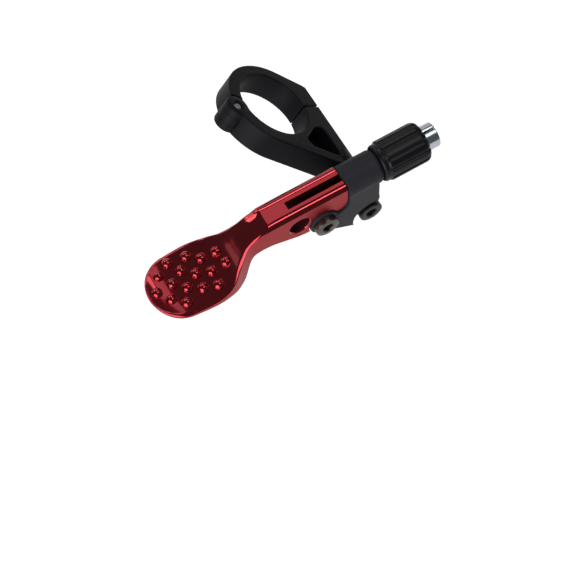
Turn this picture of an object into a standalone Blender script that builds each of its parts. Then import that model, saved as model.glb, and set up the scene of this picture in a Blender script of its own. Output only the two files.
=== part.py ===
"""Dropper post remote lever on a hinged bar clamp.

Metres, +Z up. The origin is the centre of the clamp bore. +X runs along the cable, from the thumb paddle
to the adjuster, and the lever turns about an axis along Y. The bar runs in the XZ plane, BAR_ANGLE from +X.
"""

import math

import bmesh
import bpy
from mathutils import Matrix, Vector

MM = 0.001
ROUND = 40  # facets round a large bore or disc
SMALL_ROUND = 24  # facets round a screw, pin or bush

# Fits
SEAT_GAP = 0.10 * MM  # between faces that rest on each other
RUN_GAP = 0.08 * MM  # radial, between pieces that turn or slide in each other
EDGE = 0.35 * MM  # broken edge on machined pieces

# Bar clamp
BAR_RADIUS = 11.1 * MM
BAR_ANGLE = math.radians(51.0)
RING_WIDTH = 7.6 * MM
CAP_WALL = 3.6 * MM
ARM_WALL = 4.1 * MM
SPLIT_HEIGHT = -1.35 * MM  # middle of the split, above the bore's centre line
SPLIT_GAP = 0.6 * MM
HINGE_FROM_BORE = 3.1 * MM
HINGE_REACH = BAR_RADIUS + HINGE_FROM_BORE
CLAMP_SCREW_FROM_BORE = 2.8 * MM
CLAMP_SCREW_REACH = BAR_RADIUS + CLAMP_SCREW_FROM_BORE
LUG_WALL = 2.9 * MM
LUG_REACH = CLAMP_SCREW_REACH + LUG_WALL  # outer face of the lugs and the arm
LUG_CORNER = 6.9 * MM  # height of the cap's outer corner
LUG_SLOPE = math.radians(36.0)
KNUCKLE_RADIUS = 3.6 * MM
KNUCKLE_WIDTH = 2.8 * MM
HINGE_PIN_RADIUS = 1.2 * MM
HINGE_PIN_RECESS = 0.7 * MM
CLAMP_SEAT_HEIGHT = 4.4 * MM

# Arm from the ring to the lever body
ARM_DROP = 33.3 * MM  # from the bar's centre to the body's middle plane
ARM_SLANT = math.radians(28.4)
MOUNT_FROM_FACE = 2.7 * MM
MOUNT_REACH = LUG_REACH - MOUNT_FROM_FACE  # mount screw from the bar's centre, along the ring's plane
MOUNT_BOSS_RADIUS = 4.4 * MM
POCKET_TOP = -9.2 * MM
POCKET_RING_WALL = 2.3 * MM
POCKET_SIDE_WALL = 3.3 * MM
POCKET_LOWER_WALL = 2.7 * MM
POCKET_FILLET = 1.3 * MM
POCKET_FLOOR = 1.4 * MM

# Metric screws, by thread: shank radius, head radius, head height, key across flats
M4_SHANK = 2.0 * MM
M4_CLEARANCE = 0.2 * MM
CAP_HOLE_CLEARANCE = 0.45 * MM  # the cap tips a little on the screw as it opens
CLAMP_HEAD_RADIUS = 3.0 * MM
CLAMP_HEAD_HEIGHT = 3.2 * MM
CLAMP_THREAD_DEPTH = 6.8 * MM
MOUNT_HEAD_RADIUS = 3.5 * MM
MOUNT_HEAD_HEIGHT = 2.6 * MM
MOUNT_THREAD_DEPTH = 7.2 * MM
WASHER_THICKNESS = 0.4 * MM
KEY_FLATS = 3.0 * MM
KEY_DEPTH = 1.6 * MM

# Lever body, measured from the pivot
BODY_HALF_WIDTH = 4.75 * MM
TUBE_RADIUS = 4.85 * MM
CABLE_HEIGHT = 7.3 * MM
BODY_END = 18.5 * MM
BLOCK_END = 17.5 * MM
MOUNT_FROM_PIVOT = Vector((15.0 * MM, 0.0, -9.2 * MM))
MOUNT_LUG_RADIUS = 4.6 * MM
SPOT_FACE_RADIUS = 6.0 * MM
PIVOT_BOSS_RADIUS = 4.3 * MM
CHEEK_THICKNESS = 1.85 * MM
CABLE_BORE_RADIUS = 1.3 * MM

# Pivot
PIVOT_BOLT_RADIUS = 2.0 * MM
PIVOT_HEAD_RADIUS = 3.5 * MM
PIVOT_HEAD_HEIGHT = 1.8 * MM
SLEEVE_WALL = 0.55 * MM
BUSH_WALL = 0.65 * MM
BUSH_FLANGE = 0.6 * MM
BUSH_FLANGE_THICKNESS = 0.4 * MM
NUT_FLATS = 6.6 * MM
NUT_HEIGHT = 2.2 * MM

# Lever blade, measured from the pivot
BLADE_TOP = 11.1 * MM
BLADE_HALF_WIDTH = 4.15 * MM
BLADE_END = 7.7 * MM
EAR_BOTTOM = 1.2 * MM
EAR_CORNER = 3.0 * MM
NECK_BOTTOM = -2.1 * MM
TONGUE_RADIUS = 4.0 * MM
SHOULDER_SPAN = 2.1 * MM
SHOULDER_DROP = 0.95 * MM
SLOT_WIDTH = 1.8 * MM
SLOT_LENGTH = 16.3 * MM
SLOT_FLOOR = 4.6 * MM
HEAD_HOLE_PLACE = (-7.3 * MM, 4.4 * MM)
HEAD_HOLE_RADIUS = 3.1 * MM
PADDLE_TIP = -52.0 * MM
DOME_RADIUS = 1.6 * MM
DOME_HEIGHT = 1.3 * MM
DOME_CENTRE = (-30.0 * MM, 12.0 * MM)  # centre of the curved rows, beside the paddle
DOME_FIRST_ROW = 9.1 * MM
DOME_ROW_PITCH = 4.4 * MM
DOME_PITCH = 4.3 * MM
DOME_ROWS = ((3, 244.4), (5, 237.5), (5, 230.8), (3, 221.7))  # domes in a row, and its middle in degrees
PADDLE_DISH = 0.6 * MM

# Cable adjuster, along the cable's axis, measured from the pivot
NECK_RADIUS = 3.8 * MM
NECK_FLANGE_RADIUS = 4.2 * MM
NECK_END = 26.8 * MM
KNOB_START = 19.2 * MM
KNOB_END = 33.8 * MM
KNOB_RADIUS = 5.9 * MM
KNOB_FLUTES = 12
FLUTE_RADIUS = 1.25 * MM
FLUTE_DEPTH = 0.45 * MM
BARREL_END = 37.6 * MM
BARREL_RADIUS = 3.6 * MM
BARREL_SHANK_RADIUS = 2.5 * MM
BARREL_SHANK_START = 20.9 * MM
BARREL_CUP_START = 29.9 * MM
BARREL_WALL = 1.05 * MM
BARREL_SLIT = 0.5 * MM
INSERT_START = 27.2 * MM
INSERT_END = 29.4 * MM
INSERT_RADIUS = 4.2 * MM

# Places worked out from the sizes above
RING_TILT = math.pi / 2 - BAR_ANGLE
RING_HALF = RING_WIDTH / 2
CAP_RADIUS = BAR_RADIUS + CAP_WALL
ARM_RADIUS = BAR_RADIUS + ARM_WALL
ARM_END = BODY_HALF_WIDTH + SEAT_GAP - ARM_DROP
CHEEK_GAP = BODY_HALF_WIDTH - CHEEK_THICKNESS  # half the room between the cheeks
TONGUE_HALF = CHEEK_GAP - BUSH_FLANGE_THICKNESS - 2 * SEAT_GAP
SLEEVE_RADIUS = PIVOT_BOLT_RADIUS + RUN_GAP + SLEEVE_WALL
BUSH_RADIUS = SLEEVE_RADIUS + RUN_GAP + BUSH_WALL
CLEAR_RADIUS = M4_SHANK + M4_CLEARANCE


def clear_scene():
    for block in list(bpy.data.objects):
        bpy.data.objects.remove(block, do_unlink=True)
    for mesh in list(bpy.data.meshes):
        bpy.data.meshes.remove(mesh)


def new_collection(name):
    made = bpy.data.collections.new(name)
    bpy.context.scene.collection.children.link(made)
    return made


def new_material(name, colour, roughness, metallic):
    made = bpy.data.materials.new(name)
    made.use_nodes = True
    shader = made.node_tree.nodes["Principled BSDF"]
    shader.inputs["Base Color"].default_value = (*colour, 1.0)
    shader.inputs["Roughness"].default_value = roughness
    shader.inputs["Metallic"].default_value = metallic
    return made


clear_scene()
PARTS = new_collection("dropper_remote_lever")
CUTTERS = new_collection("cutters")
RED = new_material("red_anodised", (0.42, 0.012, 0.03), 0.22, 0.9)
BLACK = new_material("black_anodised", (0.018, 0.018, 0.021), 0.45, 0.6)
BLACK_KNOB = new_material("black_knob", (0.015, 0.015, 0.017), 0.5, 0.0)
BRIGHT = new_material("bright_steel", (0.66, 0.68, 0.70), 0.18, 1.0)
GREY_STEEL = new_material("grey_steel", (0.30, 0.28, 0.26), 0.35, 1.0)
BLACK_STEEL = new_material("black_steel", (0.03, 0.03, 0.032), 0.4, 0.8)
BRASS = new_material("brass", (0.62, 0.45, 0.18), 0.3, 1.0)
RUBBER = new_material("rubber", (0.02, 0.02, 0.02), 0.8, 0.0)


def frame(name, place, turn=(0.0, 0.0, 0.0), parent=None):
    """An empty that carries pieces, such as one on a joint's axis."""
    made = bpy.data.objects.new(name, None)
    made.empty_display_size = 4 * MM
    PARTS.objects.link(made)
    made.parent = parent
    made.location = place
    made.rotation_euler = turn
    return made


def mesh_object(name, mesh, carrier, material=None):
    made = bpy.data.objects.new(name, mesh)
    home = PARTS if material else CUTTERS
    home.objects.link(made)
    made.parent = carrier
    if material:
        mesh.materials.append(material)
        mesh.shade_smooth()
        mesh.set_sharp_from_angle(angle=math.radians(32))
    else:
        made.hide_render = True
        made.display_type = "WIRE"
    return made


def cleaned(mesh):
    """The mesh with loose caps welded and its faces turned outwards."""
    work = bmesh.new()
    work.from_mesh(mesh)
    bmesh.ops.remove_doubles(work, verts=work.verts, dist=1e-6)
    bmesh.ops.recalc_face_normals(work, faces=work.faces)
    work.to_mesh(mesh)
    work.free()
    return mesh


def evaluated_mesh(made):
    graph = bpy.context.evaluated_depsgraph_get()
    graph.update()
    mesh = bpy.data.meshes.new_from_object(made.evaluated_get(graph))
    return cleaned(mesh)


def plate(name, loops, start, end, carrier, material=None, edge=0.0):
    """A flat outline in the carrier's XY plane, solid from start to end along its Z, with broken edges."""
    curve = bpy.data.curves.new(name, "CURVE")
    curve.dimensions = "2D"
    curve.fill_mode = "BOTH"
    for loop in loops:
        spline = curve.splines.new("POLY")
        spline.points.add(len(loop) - 1)
        for point, (x, y) in zip(spline.points, loop):
            point.co = (x, y, 0.0, 1.0)
        spline.use_cyclic_u = True
    curve.extrude = (end - start) / 2 - edge
    curve.bevel_depth = edge
    curve.offset = -edge
    curve.bevel_resolution = 0
    drawn = bpy.data.objects.new(name + "_outline", curve)
    CUTTERS.objects.link(drawn)
    mesh = evaluated_mesh(drawn)
    bpy.data.objects.remove(drawn, do_unlink=True)
    mesh.materials.clear()
    mesh.transform(Matrix.Translation((0.0, 0.0, (start + end) / 2)))
    return mesh_object(name, mesh, carrier, material)


def turned(name, profile, carrier, material=None, steps=ROUND):
    """A profile of (radius, height) points turned about the carrier's Z axis, closed where it leaves the axis."""
    mesh = bpy.data.meshes.new(name)
    verts = [(radius, 0.0, height) for radius, height in profile]
    edges = [(i, i + 1) for i in range(len(profile) - 1)]
    if min(radius for radius, _ in profile) > 0.0:
        edges.append((len(profile) - 1, 0))
    mesh.from_pydata(verts, edges, [])
    drawn = bpy.data.objects.new(name + "_profile", mesh)
    CUTTERS.objects.link(drawn)
    screw = drawn.modifiers.new("turn", "SCREW")
    screw.steps = screw.render_steps = steps
    screw.use_merge_vertices = True
    screw.merge_threshold = 1e-6
    solid = evaluated_mesh(drawn)
    bpy.data.objects.remove(drawn, do_unlink=True)
    return mesh_object(name, solid, carrier, material)


def rod(name, radius, start, end, carrier, material=None, place=(0.0, 0.0), steps=SMALL_ROUND, turn=0.0):
    """A cylinder, or a prism of few sides, along the carrier's Z axis at place."""
    work = bmesh.new()
    spot = Matrix.Translation((place[0], place[1], (start + end) / 2)) @ Matrix.Rotation(turn, 4, "Z")
    bmesh.ops.create_cone(
        work, cap_ends=True, segments=steps, radius1=radius, radius2=radius, depth=end - start, matrix=spot
    )
    mesh = bpy.data.meshes.new(name)
    work.to_mesh(mesh)
    work.free()
    return mesh_object(name, mesh, carrier, material)


def block(name, low, high, carrier, material=None):
    """A box between two corners."""
    work = bmesh.new()
    size = [b - a for a, b in zip(low, high)]
    middle = [(a + b) / 2 for a, b in zip(low, high)]
    bmesh.ops.create_cube(work, size=1.0, matrix=Matrix.Translation(middle) @ Matrix.Diagonal((*size, 1.0)))
    mesh = bpy.data.meshes.new(name)
    work.to_mesh(mesh)
    work.free()
    return mesh_object(name, mesh, carrier, material)


def combine(target, tools, operation):
    for tool in tools:
        change = target.modifiers.new(tool.name, "BOOLEAN")
        change.operation = operation
        change.solver = "EXACT"
        change.object = tool
    return target


def cut(target, *tools):
    return combine(target, tools, "DIFFERENCE")


def join(target, *tools):
    return combine(target, tools, "UNION")


def hex_key(name, start, end, carrier, place=(0.0, 0.0), flats=KEY_FLATS):
    return rod(name, flats / math.sqrt(3), start, end, carrier, place=place, steps=6)


def arc(centre, radius, start, end, steps):
    """Points on an arc, from start to end in degrees."""
    return [
        (
            centre[0] + radius * math.cos(math.radians(start + (end - start) * i / steps)),
            centre[1] + radius * math.sin(math.radians(start + (end - start) * i / steps)),
        )
        for i in range(steps + 1)
    ]


def angle_on(radius, height):
    """The angle, in degrees, at which a circle about the origin reaches a height on its +X side."""
    return math.degrees(math.asin(height / radius))


# Carriers. In the clamp's frame, X and Y lie in the ring's plane and Z is the bar's axis.
CLAMP = frame("clamp_frame", (0.0, 0.0, 0.0), (0.0, RING_TILT, 0.0))
HINGE = frame("hinge_axis", (-HINGE_REACH, 0.0, 0.0), parent=CLAMP)
CLAMP_SCREW = frame("clamp_screw_axis", (CLAMP_SCREW_REACH, 0.0, 0.0), (-math.pi / 2, 0.0, 0.0), parent=CLAMP)
MOUNT_PLACE = Vector(
    (MOUNT_REACH * math.cos(RING_TILT), -ARM_DROP, -MOUNT_REACH * math.sin(RING_TILT))
)
MOUNT = frame("mount_axis", MOUNT_PLACE)
PIVOT = frame("pivot_axis", -MOUNT_FROM_PIVOT, parent=MOUNT)
# Side view of the lever and body: X along the cable, Y up, Z towards the near side
SIDE = frame("side_view", (0.0, 0.0, 0.0), (math.pi / 2, 0.0, 0.0), parent=PIVOT)
MOUNT_SIDE = frame("mount_side_view", (0.0, 0.0, 0.0), (math.pi / 2, 0.0, 0.0), parent=MOUNT)
ADJUSTER = frame("adjuster_axis", (0.0, 0.0, CABLE_HEIGHT), (0.0, math.pi / 2, 0.0), parent=PIVOT)


def ring_loop(inner, outer, start, end, steps=ROUND):
    return arc((0.0, 0.0), outer, start, end, steps) + arc((0.0, 0.0), inner, end, start, steps)


def make_clamp_arm():
    low = SPLIT_HEIGHT - SPLIT_GAP / 2
    inner_angle = angle_on(BAR_RADIUS, low)
    tangent = 270.0 - math.degrees(ARM_SLANT)
    touch = arc((0.0, 0.0), ARM_RADIUS, tangent, tangent, 1)[0]
    boss_left = MOUNT_REACH - MOUNT_BOSS_RADIUS
    slant_low = touch[1] - (boss_left - touch[0]) * math.tan(ARM_SLANT)
    loop = arc((0.0, 0.0), BAR_RADIUS, 180.0, 360.0 + inner_angle, ROUND)
    loop += [(LUG_REACH, low), (LUG_REACH, slant_low), (boss_left, slant_low)]
    loop += arc((0.0, 0.0), ARM_RADIUS, tangent, 180.0, 16)
    arm = plate("clamp_arm", [loop], -RING_HALF, RING_HALF, CLAMP, BLACK, EDGE)

    boss_top = slant_low + MOUNT_BOSS_RADIUS
    boss_axis = frame("mount_boss_axis", (MOUNT_REACH, 0.0, 0.0), (-math.pi / 2, 0.0, 0.0), parent=CLAMP)
    boss = rod("mount_boss", MOUNT_BOSS_RADIUS, ARM_END, boss_top, boss_axis)
    knuckles = rod("arm_knuckle", KNUCKLE_RADIUS, -RING_HALF, RING_HALF, HINGE)
    bore = rod("bar_bore", BAR_RADIUS, -RING_WIDTH, RING_WIDTH, CLAMP, steps=2 * ROUND)
    room = rod(
        "knuckle_room", KNUCKLE_RADIUS + 3 * SEAT_GAP, -KNUCKLE_WIDTH / 2 - SEAT_GAP, KNUCKLE_WIDTH / 2 + SEAT_GAP,
        HINGE,
    )
    pin_hole = rod("pin_hole", HINGE_PIN_RADIUS + RUN_GAP, -RING_WIDTH, RING_WIDTH, HINGE)
    thread = rod("clamp_thread", M4_SHANK + RUN_GAP, POCKET_TOP - MM, 0.0, CLAMP_SCREW)
    mount_thread = rod(
        "mount_thread", M4_SHANK + RUN_GAP, ARM_END - MM, ARM_END + MOUNT_THREAD_DEPTH, boss_axis
    )
    join(arm, boss, knuckles)
    return cut(arm, bore, room, pin_hole, pocket_cutter(touch), thread, mount_thread)


def pocket_cutter(touch):
    """The rounded triangle between the ring, the arm's outer face and its slanted lower edge."""
    right = LUG_REACH - POCKET_SIDE_WALL
    ring = BAR_RADIUS + POCKET_RING_WALL
    slope = math.tan(ARM_SLANT)
    lift = POCKET_LOWER_WALL / math.cos(ARM_SLANT)

    def lower(x):
        return touch[1] - (x - touch[0]) * slope + lift

    left = 3.9 * MM
    corners = [(right, POCKET_TOP), (right, lower(right)), (left, lower(left))]
    corners += arc((0.0, 0.0), ring, -73.0, -angle_on(ring, -POCKET_TOP), 5)
    cutter = plate("arm_pocket", [corners], POCKET_FLOOR - RING_HALF, RING_WIDTH, CLAMP)
    rounding = bmesh.new()
    rounding.from_mesh(cutter.data)
    sharp = [
        edge
        for edge in rounding.edges
        if abs(edge.verts[0].co.z - edge.verts[1].co.z) > RING_WIDTH and edge.calc_face_angle(0.0) > 0.6
    ]
    bmesh.ops.bevel(rounding, geom=sharp, offset=POCKET_FILLET, segments=4, affect="EDGES", profile=0.5)
    rounding.to_mesh(cutter.data)
    rounding.free()
    return cutter


def make_clamp_cap():
    low = SPLIT_HEIGHT + SPLIT_GAP / 2
    inner_angle = angle_on(BAR_RADIUS, low)
    leave = 90.0 - math.degrees(LUG_SLOPE)
    start = arc((0.0, 0.0), CAP_RADIUS, leave, leave, 1)[0]
    corner_x = start[0] + (start[1] - LUG_CORNER) / math.tan(LUG_SLOPE)
    loop = arc((0.0, 0.0), CAP_RADIUS, 180.0, leave, ROUND // 2)
    loop += [(corner_x, LUG_CORNER), (LUG_REACH, LUG_CORNER - 1.2 * MM), (LUG_REACH, low)]
    loop += arc((0.0, 0.0), BAR_RADIUS, inner_angle, 180.0, ROUND)
    cap = plate("clamp_cap", [loop], -RING_HALF, RING_HALF, CLAMP, BLACK, EDGE)

    knuckle = rod("cap_knuckle", KNUCKLE_RADIUS, -KNUCKLE_WIDTH / 2, KNUCKLE_WIDTH / 2, HINGE)
    bore = rod("cap_bore", BAR_RADIUS, -RING_WIDTH, RING_WIDTH, CLAMP, steps=2 * ROUND)
    lug_rooms = [
        rod("lug_room_" + side, KNUCKLE_RADIUS + 3 * SEAT_GAP, min(a, b), max(a, b), HINGE)
        for side, a, b in (
            ("near", KNUCKLE_WIDTH / 2, RING_WIDTH),
            ("far", -KNUCKLE_WIDTH / 2, -RING_WIDTH),
        )
    ]
    pin_hole = rod("cap_pin_hole", HINGE_PIN_RADIUS + RUN_GAP, -RING_WIDTH, RING_WIDTH, HINGE)
    hole = rod("clamp_clearance", M4_SHANK + CAP_HOLE_CLEARANCE, -MM + low, CLAMP_SEAT_HEIGHT + MM, CLAMP_SCREW)
    seat = rod("clamp_counterbore", CLAMP_HEAD_RADIUS + 0.3 * MM, CLAMP_SEAT_HEIGHT, 14 * MM, CLAMP_SCREW)
    cut(cap, lug_rooms[0], lug_rooms[1])
    join(cap, knuckle)
    return cut(cap, bore, pin_hole, hole, seat)


def make_hinge_pin():
    half = RING_HALF - HINGE_PIN_RECESS
    r, c = HINGE_PIN_RADIUS, 0.3 * MM
    profile = [(0.0, half), (r - c, half), (r, half - c), (r, c - half), (r - c, -half), (0.0, -half)]
    return turned("clamp_hinge_pin", profile, HINGE, BRIGHT, SMALL_ROUND)


def socket_screw(name, seat, head_radius, head_height, tip, carrier, material):
    """A socket head screw along the carrier's Z axis, its head above seat and its tip below."""
    top = seat + head_height
    c = 0.35 * MM
    profile = [
        (0.0, top), (head_radius - c, top), (head_radius, top - c), (head_radius, seat),
        (M4_SHANK, seat), (M4_SHANK, tip + c), (M4_SHANK - c, tip), (0.0, tip),
    ]
    screw = turned(name, profile, carrier, material, SMALL_ROUND)
    return cut(screw, hex_key(name + "_key", top - KEY_DEPTH, top + MM, carrier))


def washer(name, seat, outer, carrier, material):
    """A flat washer that lies on seat."""
    inner, top = CLEAR_RADIUS, seat + WASHER_THICKNESS
    profile = [(outer, top), (outer, seat), (inner, seat), (inner, top)]
    return turned(name, profile, carrier, material, SMALL_ROUND)


def make_clamp_screw():
    low = SPLIT_HEIGHT - SPLIT_GAP / 2
    seat = CLAMP_SEAT_HEIGHT + SEAT_GAP
    washer("clamp_washer", seat, CLAMP_HEAD_RADIUS, CLAMP_SCREW, BLACK_STEEL)
    seat += WASHER_THICKNESS + SEAT_GAP
    tip = low - CLAMP_THREAD_DEPTH
    socket_screw("clamp_screw", seat, CLAMP_HEAD_RADIUS, CLAMP_HEAD_HEIGHT, tip, CLAMP_SCREW, BLACK_STEEL)


def body_side_loop():
    """The body's side, from the pivot boss over the shoulder to the block's end and round the mount lug."""
    ear_gap = 3 * SEAT_GAP
    shoulder_x = BLADE_END + ear_gap
    corner = (BLADE_END - EAR_CORNER, EAR_BOTTOM + EAR_CORNER)
    ledge = EAR_BOTTOM - ear_gap
    lug = (MOUNT_FROM_PIVOT.x, MOUNT_FROM_PIVOT.z)
    fall = math.degrees(math.atan2(lug[1], lug[0]))
    lower = fall - 90.0
    lug_top = math.degrees(math.acos((BLOCK_END - lug[0]) / MOUNT_LUG_RADIUS))
    meet = angle_on(PIVOT_BOSS_RADIUS, ledge)
    loop = arc((0.0, 0.0), PIVOT_BOSS_RADIUS, 360.0 + lower, meet, 24)
    loop += arc(corner, EAR_CORNER + ear_gap, 270.0, 360.0, 8)
    loop += [(shoulder_x, CABLE_HEIGHT), (BLOCK_END, CABLE_HEIGHT)]
    loop += arc(lug, MOUNT_LUG_RADIUS, lug_top, lower, 20)
    return loop


def make_lever_body():
    body = plate("lever_body", [body_side_loop()], -BODY_HALF_WIDTH, BODY_HALF_WIDTH, SIDE, BLACK, EDGE)
    body.parent = MOUNT
    body.location = -MOUNT_FROM_PIVOT
    body.rotation_euler = (math.pi / 2, 0.0, 0.0)
    start = BLADE_END + 3 * SEAT_GAP
    r = TUBE_RADIUS
    groove = 0.9 * MM
    ring_start = NECK_END - 1.2 * MM
    neck = NECK_RADIUS
    profile = [
        (0.0, start), (r - EDGE, start), (r, start + EDGE), (r, BODY_END - EDGE), (r - EDGE, BODY_END),
        (NECK_FLANGE_RADIUS, BODY_END), (NECK_FLANGE_RADIUS, KNOB_START - 2 * SEAT_GAP),
        (neck, KNOB_START - 2 * SEAT_GAP), (neck, KNOB_START + 0.8 * MM), (neck - 0.6 * MM, KNOB_START + 0.8 * MM),
        (neck - 0.6 * MM, KNOB_START + 0.8 * MM + groove), (neck, KNOB_START + 0.8 * MM + groove),
        (neck, ring_start), (neck - 0.45 * MM, ring_start), (neck - 0.45 * MM, ring_start + 0.7 * MM),
        (neck, ring_start + 0.7 * MM), (neck, NECK_END), (0.0, NECK_END),
    ]
    tube = turned("body_tube", profile, ADJUSTER)
    join(body, tube)

    step, wide = BARREL_SHANK_START - 0.3 * MM, BARREL_SHANK_RADIUS + RUN_GAP
    bore = [
        (0.0, NECK_END + MM), (wide, NECK_END + MM), (wide, step), (CABLE_BORE_RADIUS, step), (CABLE_BORE_RADIUS, 0.0), (0.0, 0.0),
    ]
    cable = turned("body_cable_bore", bore, ADJUSTER, steps=SMALL_ROUND)
    spot = rod(
        "spot_face", SPOT_FACE_RADIUS, MOUNT_HEAD_SEAT, 10 * MM, MOUNT_SIDE, steps=ROUND
    )
    mount_hole = rod("mount_hole", CLEAR_RADIUS, -10 * MM, 10 * MM, MOUNT_SIDE)
    tongue_room = block(
        "tongue_room", (-8 * MM, -8 * MM, -CHEEK_GAP), (TONGUE_RADIUS + MM, 6 * MM, CHEEK_GAP), SIDE
    )
    pivot_hole = rod("cheek_hole", PIVOT_BOLT_RADIUS + RUN_GAP, -8 * MM, 8 * MM, SIDE)
    key_hole = rod("key_hole", 0.5 * MM + RUN_GAP, 0.0, 5 * MM, KEY_AXIS, steps=12)
    return cut(body, spot, mount_hole, tongue_room, pivot_hole, cable, key_hole)


MOUNT_HEAD_SEAT = BODY_HALF_WIDTH - MOUNT_HEAD_HEIGHT - WASHER_THICKNESS - 2 * SEAT_GAP
KEY_AXIS = frame("key_axis", (24.2 * MM, 0.0, CABLE_HEIGHT), parent=PIVOT)


def make_mount_screw():
    seat = MOUNT_HEAD_SEAT + SEAT_GAP
    washer("mount_washer", seat, MOUNT_HEAD_RADIUS + 0.5 * MM, MOUNT_SIDE, BLACK_STEEL)
    seat += WASHER_THICKNESS + SEAT_GAP
    tip = -BODY_HALF_WIDTH - SEAT_GAP - MOUNT_THREAD_DEPTH + 0.6 * MM
    socket_screw("mount_screw", seat, MOUNT_HEAD_RADIUS, MOUNT_HEAD_HEIGHT, tip, MOUNT_SIDE, BLACK_STEEL)


def make_pivot():
    """Bolt, sleeve, flanged bushes and nut, all on the pivot's axis."""
    seat = BODY_HALF_WIDTH + SEAT_GAP
    top = seat + PIVOT_HEAD_HEIGHT
    r, c = PIVOT_BOLT_RADIUS, 0.4 * MM
    nut_seat = -BODY_HALF_WIDTH - SEAT_GAP
    tip = nut_seat - NUT_HEIGHT - 0.5 * MM
    profile = [
        (0.0, top), (PIVOT_HEAD_RADIUS - c, top), (PIVOT_HEAD_RADIUS, top - c), (PIVOT_HEAD_RADIUS, seat),
        (r, seat), (r, tip + c), (r - c, tip), (0.0, tip),
    ]
    bolt = turned("pivot_bolt", profile, SIDE, GREY_STEEL, SMALL_ROUND)
    cut(bolt, hex_key("pivot_key", top - 1.5 * MM, top + MM, SIDE))

    nut = rod("pivot_nut", NUT_FLATS / math.sqrt(3), nut_seat - NUT_HEIGHT, nut_seat, SIDE, GREY_STEEL, steps=6)
    cut(nut, rod("nut_hole", r + RUN_GAP, nut_seat - 5 * MM, nut_seat + MM, SIDE))

    inner, half = r + RUN_GAP, CHEEK_GAP - SEAT_GAP
    ring = [(SLEEVE_RADIUS, half), (SLEEVE_RADIUS, -half), (inner, -half), (inner, half)]
    turned("pivot_sleeve", ring, SIDE, GREY_STEEL, SMALL_ROUND)

    inner, outer = SLEEVE_RADIUS + RUN_GAP, BUSH_RADIUS
    flange = outer + BUSH_FLANGE
    face, end = TONGUE_HALF + SEAT_GAP, TONGUE_HALF + SEAT_GAP + BUSH_FLANGE_THICKNESS
    stub = 0.4 * MM
    for name, way in (("pivot_bush_near", 1), ("pivot_bush_far", -1)):
        loop = [(inner, end), (flange, end), (flange, face), (outer, face), (outer, stub), (inner, stub)]
        turned(name, [(x, way * z) for x, z in loop], SIDE, BRASS, SMALL_ROUND)


def smooth_step(x, low, high):
    t = min(max((x - low) / (high - low), 0.0), 1.0)
    return t * t * (3 - 2 * t)


def through(points, x):
    """The height at x of a smooth curve through a few (x, height) points, in millimetres."""
    points = sorted(points)
    if x <= points[0][0]:
        return points[0][1]
    if x >= points[-1][0]:
        return points[-1][1]
    slopes = []
    for i in range(len(points)):
        a, b = points[max(i - 1, 0)], points[min(i + 1, len(points) - 1)]
        slopes.append((b[1] - a[1]) / (b[0] - a[0]))
    for (x0, y0), (x1, y1), m0, m1 in zip(points, points[1:], slopes, slopes[1:]):
        if x <= x1:
            break
    h = x1 - x0
    t = (x - x0) / h
    return (
        (2 * t**3 - 3 * t**2 + 1) * y0
        + (t**3 - 2 * t**2 + t) * h * m0
        + (3 * t**2 - 2 * t**3) * y1
        + (t**3 - t**2) * h * m1
    )


# The blade along its length, in millimetres from the pivot: top face, depth and half width
TIP, TOP, SIDE_HALF = PADDLE_TIP / MM, BLADE_TOP / MM, BLADE_HALF_WIDTH / MM
FACE_LINE = [(TIP, 0.3), (-48.0, -0.6), (-42.0, -0.9), (-35.0, -0.8), (-31.5, -0.3), (-29.5, 0.8), (-28.0, 2.3),
             (-26.0, 4.7), (-24.0, 7.0), (-22.0, 8.6), (-20.0, 9.85), (-18.0, TOP - 0.4), (-16.0, TOP), (8.0, TOP)]
BOTTOM_LINE = [(TIP, -0.9), (-48.0, -2.0), (-44.0, -2.4), (-40.0, -2.9), (-36.0, -3.5), (-33.0, -4.3), (-31.0, -5.2),
               (-29.0, -6.3), (-28.0, -6.9), (-27.0, -7.3), (-26.0, -7.1), (-25.0, -6.0), (-24.0, -3.6),
               (-23.0, -1.2), (-22.0, 0.2), (-21.0, 0.9), (-19.0, 1.4), (-17.0, 1.35), (-15.0, 0.95), (-11.0, -0.5),
               (-8.0, -1.6), (-5.5, NECK_BOTTOM / MM)]
WIDTH_LINE = [(-43.0, 9.85), (-38.0, 10.1), (-35.0, 9.95), (-32.4, 9.45), (-29.8, 8.4), (-28.0, 7.2), (-27.0, 6.45),
              (-26.0, 5.85), (-25.0, 5.3), (-24.0, 4.8), (-22.5, SIDE_HALF + 0.15), (-21.0, SIDE_HALF),
              (8.0, SIDE_HALF)]
EDGE_SPAN = [(-31.0, 0.9), (-29.0, 1.1), (-27.0, 1.6), (-25.0, 1.5), (-23.0, 1.0), (-20.0, 1.0), (-16.0, 1.9),
             (-14.0, SHOULDER_SPAN / MM)]
EDGE_DROP = [(-31.0, 0.9), (-28.0, 1.1), (-25.0, 1.0), (-14.0, SHOULDER_DROP / MM)]
TIP_ROUND = 9.2  # length over which the paddle's end rounds off


def dish_at(x):
    """How deep the thumb face is dished on its middle line, at x in millimetres."""
    return (PADDLE_DISH / MM) * smooth_step(x, TIP, TIP + 4) * (1 - smooth_step(x, -33.0, -22.0))


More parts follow.
